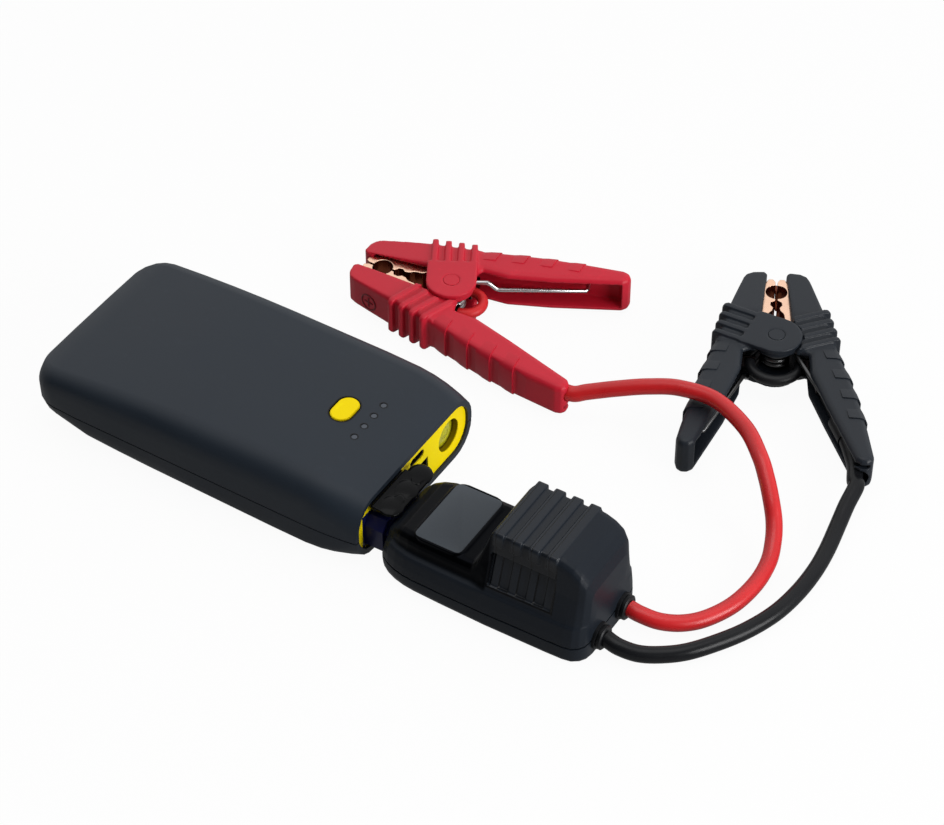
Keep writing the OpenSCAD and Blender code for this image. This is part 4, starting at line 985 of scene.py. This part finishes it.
# Plus in a ring: its centre, radius, arms, thickness and points round the ring, and the start and run of the
# slanting face under it
PLUS_U = 29
PLUS_Z = 8.2
PLUS_R = 3.6
PLUS_ARM = 2.1
PLUS_D = 0.7
PLUS_POINTS = 40
PLUS_FACE = (18, 18.6)
PLUS_RUN = (18.4, -5.4)

# Cheeks of the free handle: thickness, half length, reach from the pin, and the ribs' slant in degrees
CHEEK_T = 2
CHEEK_R = 10
CHEEK_V = (4.5, 11.6)
RIB_SLANT = 23.5

# Handles: the side of the clamp's middle they are on, and half thickness; and the pin's softened edge
HANDLES = {"cable_handle": (1, 7.35), "free_handle": (-1, 8.3)}
PIN_EDGE = 0.2

# Outer side of a handle, as points along u and distances from the clamp's middle
EDGE = ((-66, 34.6), (-62, 37), (-42, 33.9), (-26, 30.4), (-16, 27.6), (-3, 23.6), (18, 18.6))

# Finger pads: start of each step, length, share of its height that is left halfway, sunk end and wall
PAD_U = (-10, -21, -32, -43)
PAD_L = 7
PAD_HALFWAY = 0.55
PAD_SUNK = -0.25
PAD_WALL = 0.5

# Half of a step's wrap: inset from the edge, drop from the face, lean outwards and upwards, and height
PAD_ROWS = (
    (6.4, 0, 0, 1, 0.38), (2.4, 0, 0, 1, 0.38), (1.2, 0.32, 0.5, 0.87, 0.4), (0.3, 1.2, 0.87, 0.5, 0.5),
    (0, 2.6, 1, 0, 0.75),
)

# Spring: wire, radius, pitch, full turns and points along them
SPRING_D = 1.8
SPRING_R = 5
SPRING_PITCH = 2.3
CURLS = 3
CURL_STEPS = 84

# Its legs: turn in degrees, length, start, and points of the hook, as distances from the end and outwards;
# then the free leg's bend, its drop past the bend, and the points of the curls that belong to it
LEG_TURN = 65.4
LEG_L = 54.4
LEG_START = 2
LEG_HOOK = ((0, 4.4), (0.3, 1.0), (1.2, 0))
LEG_BEND = (19, 14)
LEG_DROP = 3.6
LEG_CURL = 4

# Bridge wire: thickness, place of its ends behind the pin, and radius of its half round
BRIDGE_D = 4.2
BRIDGE_U = -6.4
BRIDGE_R = {"red": 6.8, "black": 9.8}


def on_clamp(tone, u, v, z):
    """Point of a clamp's own frame, in millimetres, in the frame of the part."""
    return CLAMPS[tone] @ mm(u, v, z)


def edge_at(u):
    """Distance of a handle's outer side from its clamp's middle."""
    for (u0, v0), (u1, v1) in zip(EDGE, EDGE[1:]):
        if u <= u1:
            return v0 + (v1 - v0) * (u - u0) / (u1 - u0)
    return EDGE[-1][1]


def spring_path():
    """Centre lines of a torsion spring in its clamp's frame: the leg that moves, then the rest."""
    turn = math.radians(LEG_TURN)
    rise = SPRING_PITCH * (CURLS + 2 * LEG_TURN / 360)
    out = Vector((SPRING_R * math.cos(turn), SPRING_R * math.sin(turn), 0))

    def leg(side, length, hook=0.0, drop=0.0):
        flat = out + length * Vector((-math.sin(turn), math.cos(turn), 0)) + hook * out / SPRING_R
        return flat * Vector((1, side, 1)) + Vector((0, 0, MID_Z - side * rise / 2 - drop))

    sweep = math.tau * CURLS + 2 * turn
    curls = []
    for i in range(CURL_STEPS + 1):
        a = sweep * i / CURL_STEPS - turn
        height = MID_Z + rise / 2 - rise * i / CURL_STEPS
        curls.append(Vector((SPRING_R * math.cos(a), SPRING_R * math.sin(a), height)))
    free = [leg(-1, LEG_L - back, hook, LEG_DROP) for back, hook in LEG_HOOK]
    far, near = LEG_BEND
    for t in (0, 0.25, 0.5, 0.75, 1):
        free.append(leg(-1, far + (near - far) * t, 0, LEG_DROP * (1 - t * t * (3 - 2 * t))))
    free.append(leg(-1, LEG_START))
    held = [leg(1, LEG_START)] + [leg(1, LEG_L - back, hook) for back, hook in reversed(LEG_HOOK)]
    return free + curls[:LEG_CURL], curls + held


class JUMPPACK_OT_clamps(bpy.types.Operator):
    """Adds both clamps: handles, copper jaws, pins, springs and bridge wires"""

    bl_idname = "jump_pack.clamps"
    bl_label = "Clamps"

    def execute(self, context):
        settings = looks().clamps
        steels = {
            "red": metal("Spring steel", settings.steel, 0.24, scale=300, tarnish=0.08),
            # painted shade: the black clamp's spring is a darkened copy of the same steel
            "black": metal("Dark spring steel", scaled(settings.steel, 0.2), 0.3, scale=300, tarnish=0.08),
        }
        for tone in CLAMPS:
            plastic = moulded(f"{tone.title()} clamp plastic", getattr(settings, tone), 0.42, 2000)
            self.add_handles(tone, plastic)
            self.add_jaws(tone, settings.copper)
            if tone == "red":
                # painted shade: the raised plus is darker than the handle, as the shade of an engraved mark
                self.add_plus(moulded("Moulded mark", scaled(settings.red, 0.3), 0.45, 2000))
            silicone = rubber(f"{tone.title()} bridge silicone", getattr(looks().cables, tone))
            paint(silicone, f"{tone}_cable_lug")
            self.add_spring(tone, steels[tone])
            self.add_bridge(tone, silicone)
        return {"FINISHED"}

    def add_handles(self, tone, plastic):
        """Both handles with their finger pads, and the pin."""
        for part in HANDLES:
            grow = self.cheeks(tone) if part == "free_handle" else None
            cast(f"{tone}_{part}", plastic, voxel=0.4, keep=0.4, rounds=6, add_forms=grow)
            self.add_pads(tone, part, plastic)
        dress(f"{tone}_pivot_pin", plastic, PIN_EDGE * MM)

    def add_jaws(self, tone, copper):
        """Both copper jaws, and a dark wire in the seam between them as painted shade."""
        bare = metal(f"{tone.title()} jaw copper", copper, 0.24, tarnish=0.12, jaw_of=CLAMPS[tone])
        # painted shade: a dark wire in the jaws' shaded tone fills the gap between them
        seam = metal(f"{tone.title()} jaw seam", JAW_WALL_SHADE, 0.4, tarnish=0.4)
        path = [on_clamp(tone, u, JAW_GAP_SHADE_V, MID_Z) for u in JAW_GAP_SHADE_U]
        wire(f"{tone}_jaw_seam", path, JAW_GAP_SHADE_D * MM, seam, f"{tone}_cable_jaw", fineness=2)
        for part in ("cable_jaw", "free_jaw"):
            cast(f"{tone}_{part}", bare, voxel=0.25, keep=0.45, rounds=4)

    def add_plus(self, material):
        """Raised plus in a ring, on the outer side of the red clamp's cable handle."""
        start, run = Vector((*PLUS_FACE, PLUS_Z)), Vector((*PLUS_RUN, 0))
        centre = start + run * (PLUS_U - start.x) / run.x
        along = run.normalized()

        def place(a, b):
            return on_clamp("red", *(centre + along * a + Vector((0, 0, b))))

        turns = [math.tau * i / PLUS_POINTS for i in range(PLUS_POINTS + 1)]
        ring = [place(PLUS_R * math.cos(a), PLUS_R * math.sin(a)) for a in turns]
        bars = ([place(-PLUS_ARM, 0), place(PLUS_ARM, 0)], [place(0, -PLUS_ARM), place(0, PLUS_ARM)])
        for number, path in enumerate((ring, *bars)):
            wire(f"red_plus_{number}", path, PLUS_D * MM, material, "red_cable_handle", fineness=2)

    def cheeks(self, tone):
        """Straight-sided cheeks that run from the pivot's discs into the ribs."""
        near, far = CHEEK_V
        slanted = Matrix.Scale(-1, 4, (0, 1, 0)) @ Matrix.Rotation(math.radians(-RIB_SLANT), 4, "Z")
        reach = Matrix.Translation(mm(0, (near + far) / 2, 0)) @ box_matrix(2 * CHEEK_R, far - near, CHEEK_T)

        def grow(shape):
            for z in (CHEEK_T / 2, CLAMP_T - CHEEK_T / 2):
                place = CLAMPS[tone] @ Matrix.Translation(mm(0, 0, z)) @ slanted @ reach
                made = bmesh.ops.create_cube(shape, size=1, matrix=place)
                faces = {face for vert in made["verts"] for face in vert.link_faces}
                bmesh.ops.recalc_face_normals(shape, faces=list(faces))

        return grow

    def add_pads(self, tone, part, material):
        """Stepped finger pads that wrap the outer side of a handle, with a fine step on both faces."""
        side, half_t = HANDLES[part]
        shape = bmesh.new()
        for u in PAD_U:
            rows = [
                [
                    (x, side * (edge_at(x) - inset + out * h), half_t - drop + up * h)
                    for x, h in ((u, high), (u + PAD_L / 2, high * PAD_HALFWAY), (u + PAD_L, PAD_SUNK))
                ]
                for inset, drop, out, up, high in PAD_ROWS
            ]
            rows += [[(x, v, -z) for x, v, z in row] for row in reversed(rows)]
            strip = bmesh.ops.create_grid(shape, x_segments=2, y_segments=len(rows) - 1, size=1)["verts"]
            for vert, (x, v, z) in zip(strip, (p for row in rows for p in row)):
                vert.co = on_clamp(tone, x, v, MID_Z + z)
        shape.normal_update()
        top = max(shape.faces, key=lambda f: f.calc_center_median().z)
        if top.normal.z < 0:
            bmesh.ops.reverse_faces(shape, faces=shape.faces)
        shade(shape, 40)
        node = f"{tone}_{part}"
        wall = new_piece(f"{node}_pads", shape, material, node).modifiers.new("Wall", "SOLIDIFY")
        wall.thickness = PAD_WALL * MM
        wall.offset = -1

    def add_spring(self, tone, steel):
        """Torsion spring round the pivot, whose free leg goes with the free half."""
        node = f"{tone}_spring"
        leg, coil = ([on_clamp(tone, *p) for p in path] for path in spring_path())
        wire(f"{node}_leg", leg, SPRING_D * MM, steel, node, fineness=5, carrier=f"{tone}_free_handle")
        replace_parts(wire(f"{node}_round", coil, SPRING_D * MM, steel, node, fineness=5), node)

    def add_bridge(self, tone, silicone):
        """Half-round bridge wire behind the pivot."""
        node = f"{tone}_bridge_wire"
        radius = BRIDGE_R[tone]
        shape = bmesh.new()
        place = Matrix.Translation(mm(BRIDGE_U, radius, MID_Z)) @ Matrix.Rotation(math.pi / 2, 4, "Y")
        bmesh.ops.create_circle(shape, segments=24, radius=BRIDGE_D / 2 * MM, matrix=place)
        bmesh.ops.spin(
            shape, geom=shape.verts[:] + shape.edges[:], cent=mm(BRIDGE_U, 0, MID_Z), axis=(0, 0, 1),
            angle=math.pi, steps=24,
        )
        bmesh.ops.holes_fill(shape, edges=[e for e in shape.edges if e.is_boundary])
        bmesh.ops.transform(shape, matrix=CLAMPS[tone], verts=shape.verts)
        bmesh.ops.recalc_face_normals(shape, faces=shape.faces)
        shade(shape, 50)
        piece = new_mesh(f"{node}_round", shape, silicone)
        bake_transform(piece)
        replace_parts(piece, node)


# ---------------------------------------------------------------- panel and registration


class JUMPPACK_PT_panel(bpy.types.Panel):
    """Lists the steps that build the dressed model"""

    bl_label = "Jump Starter"
    bl_idname = "JUMPPACK_PT_panel"
    bl_space_type = "VIEW_3D"
    bl_region_type = "UI"
    bl_category = "Jump Starter"

    def draw(self, context):
        for operator in OPERATORS:
            self.layout.operator(operator.bl_idname)


OPERATORS = (
    JUMPPACK_OT_stage,
    JUMPPACK_OT_cables,
    JUMPPACK_OT_pack,
    JUMPPACK_OT_ports,
    JUMPPACK_OT_module,
    JUMPPACK_OT_clamps,
)
GROUPS = (PackLooks, ModuleLooks, ClampLooks, CableLooks, StageLooks, Looks)


def register():
    """Registers the settings, the operators and the panel."""
    for item in (*GROUPS, *OPERATORS, JUMPPACK_PT_panel):
        bpy.utils.register_class(item)
    bpy.types.Scene.jump_pack = PointerProperty(type=Looks)


def unregister():
    """Takes back what register added."""
    del bpy.types.Scene.jump_pack
    for item in reversed((*GROUPS, *OPERATORS, JUMPPACK_PT_panel)):
        bpy.utils.unregister_class(item)


def main():
    """Builds every piece in order."""
    register()
    for operator in OPERATORS:
        group, name = operator.bl_idname.split(".")
        getattr(getattr(bpy.ops, group), name)()


if __name__ == "__main__":
    main()
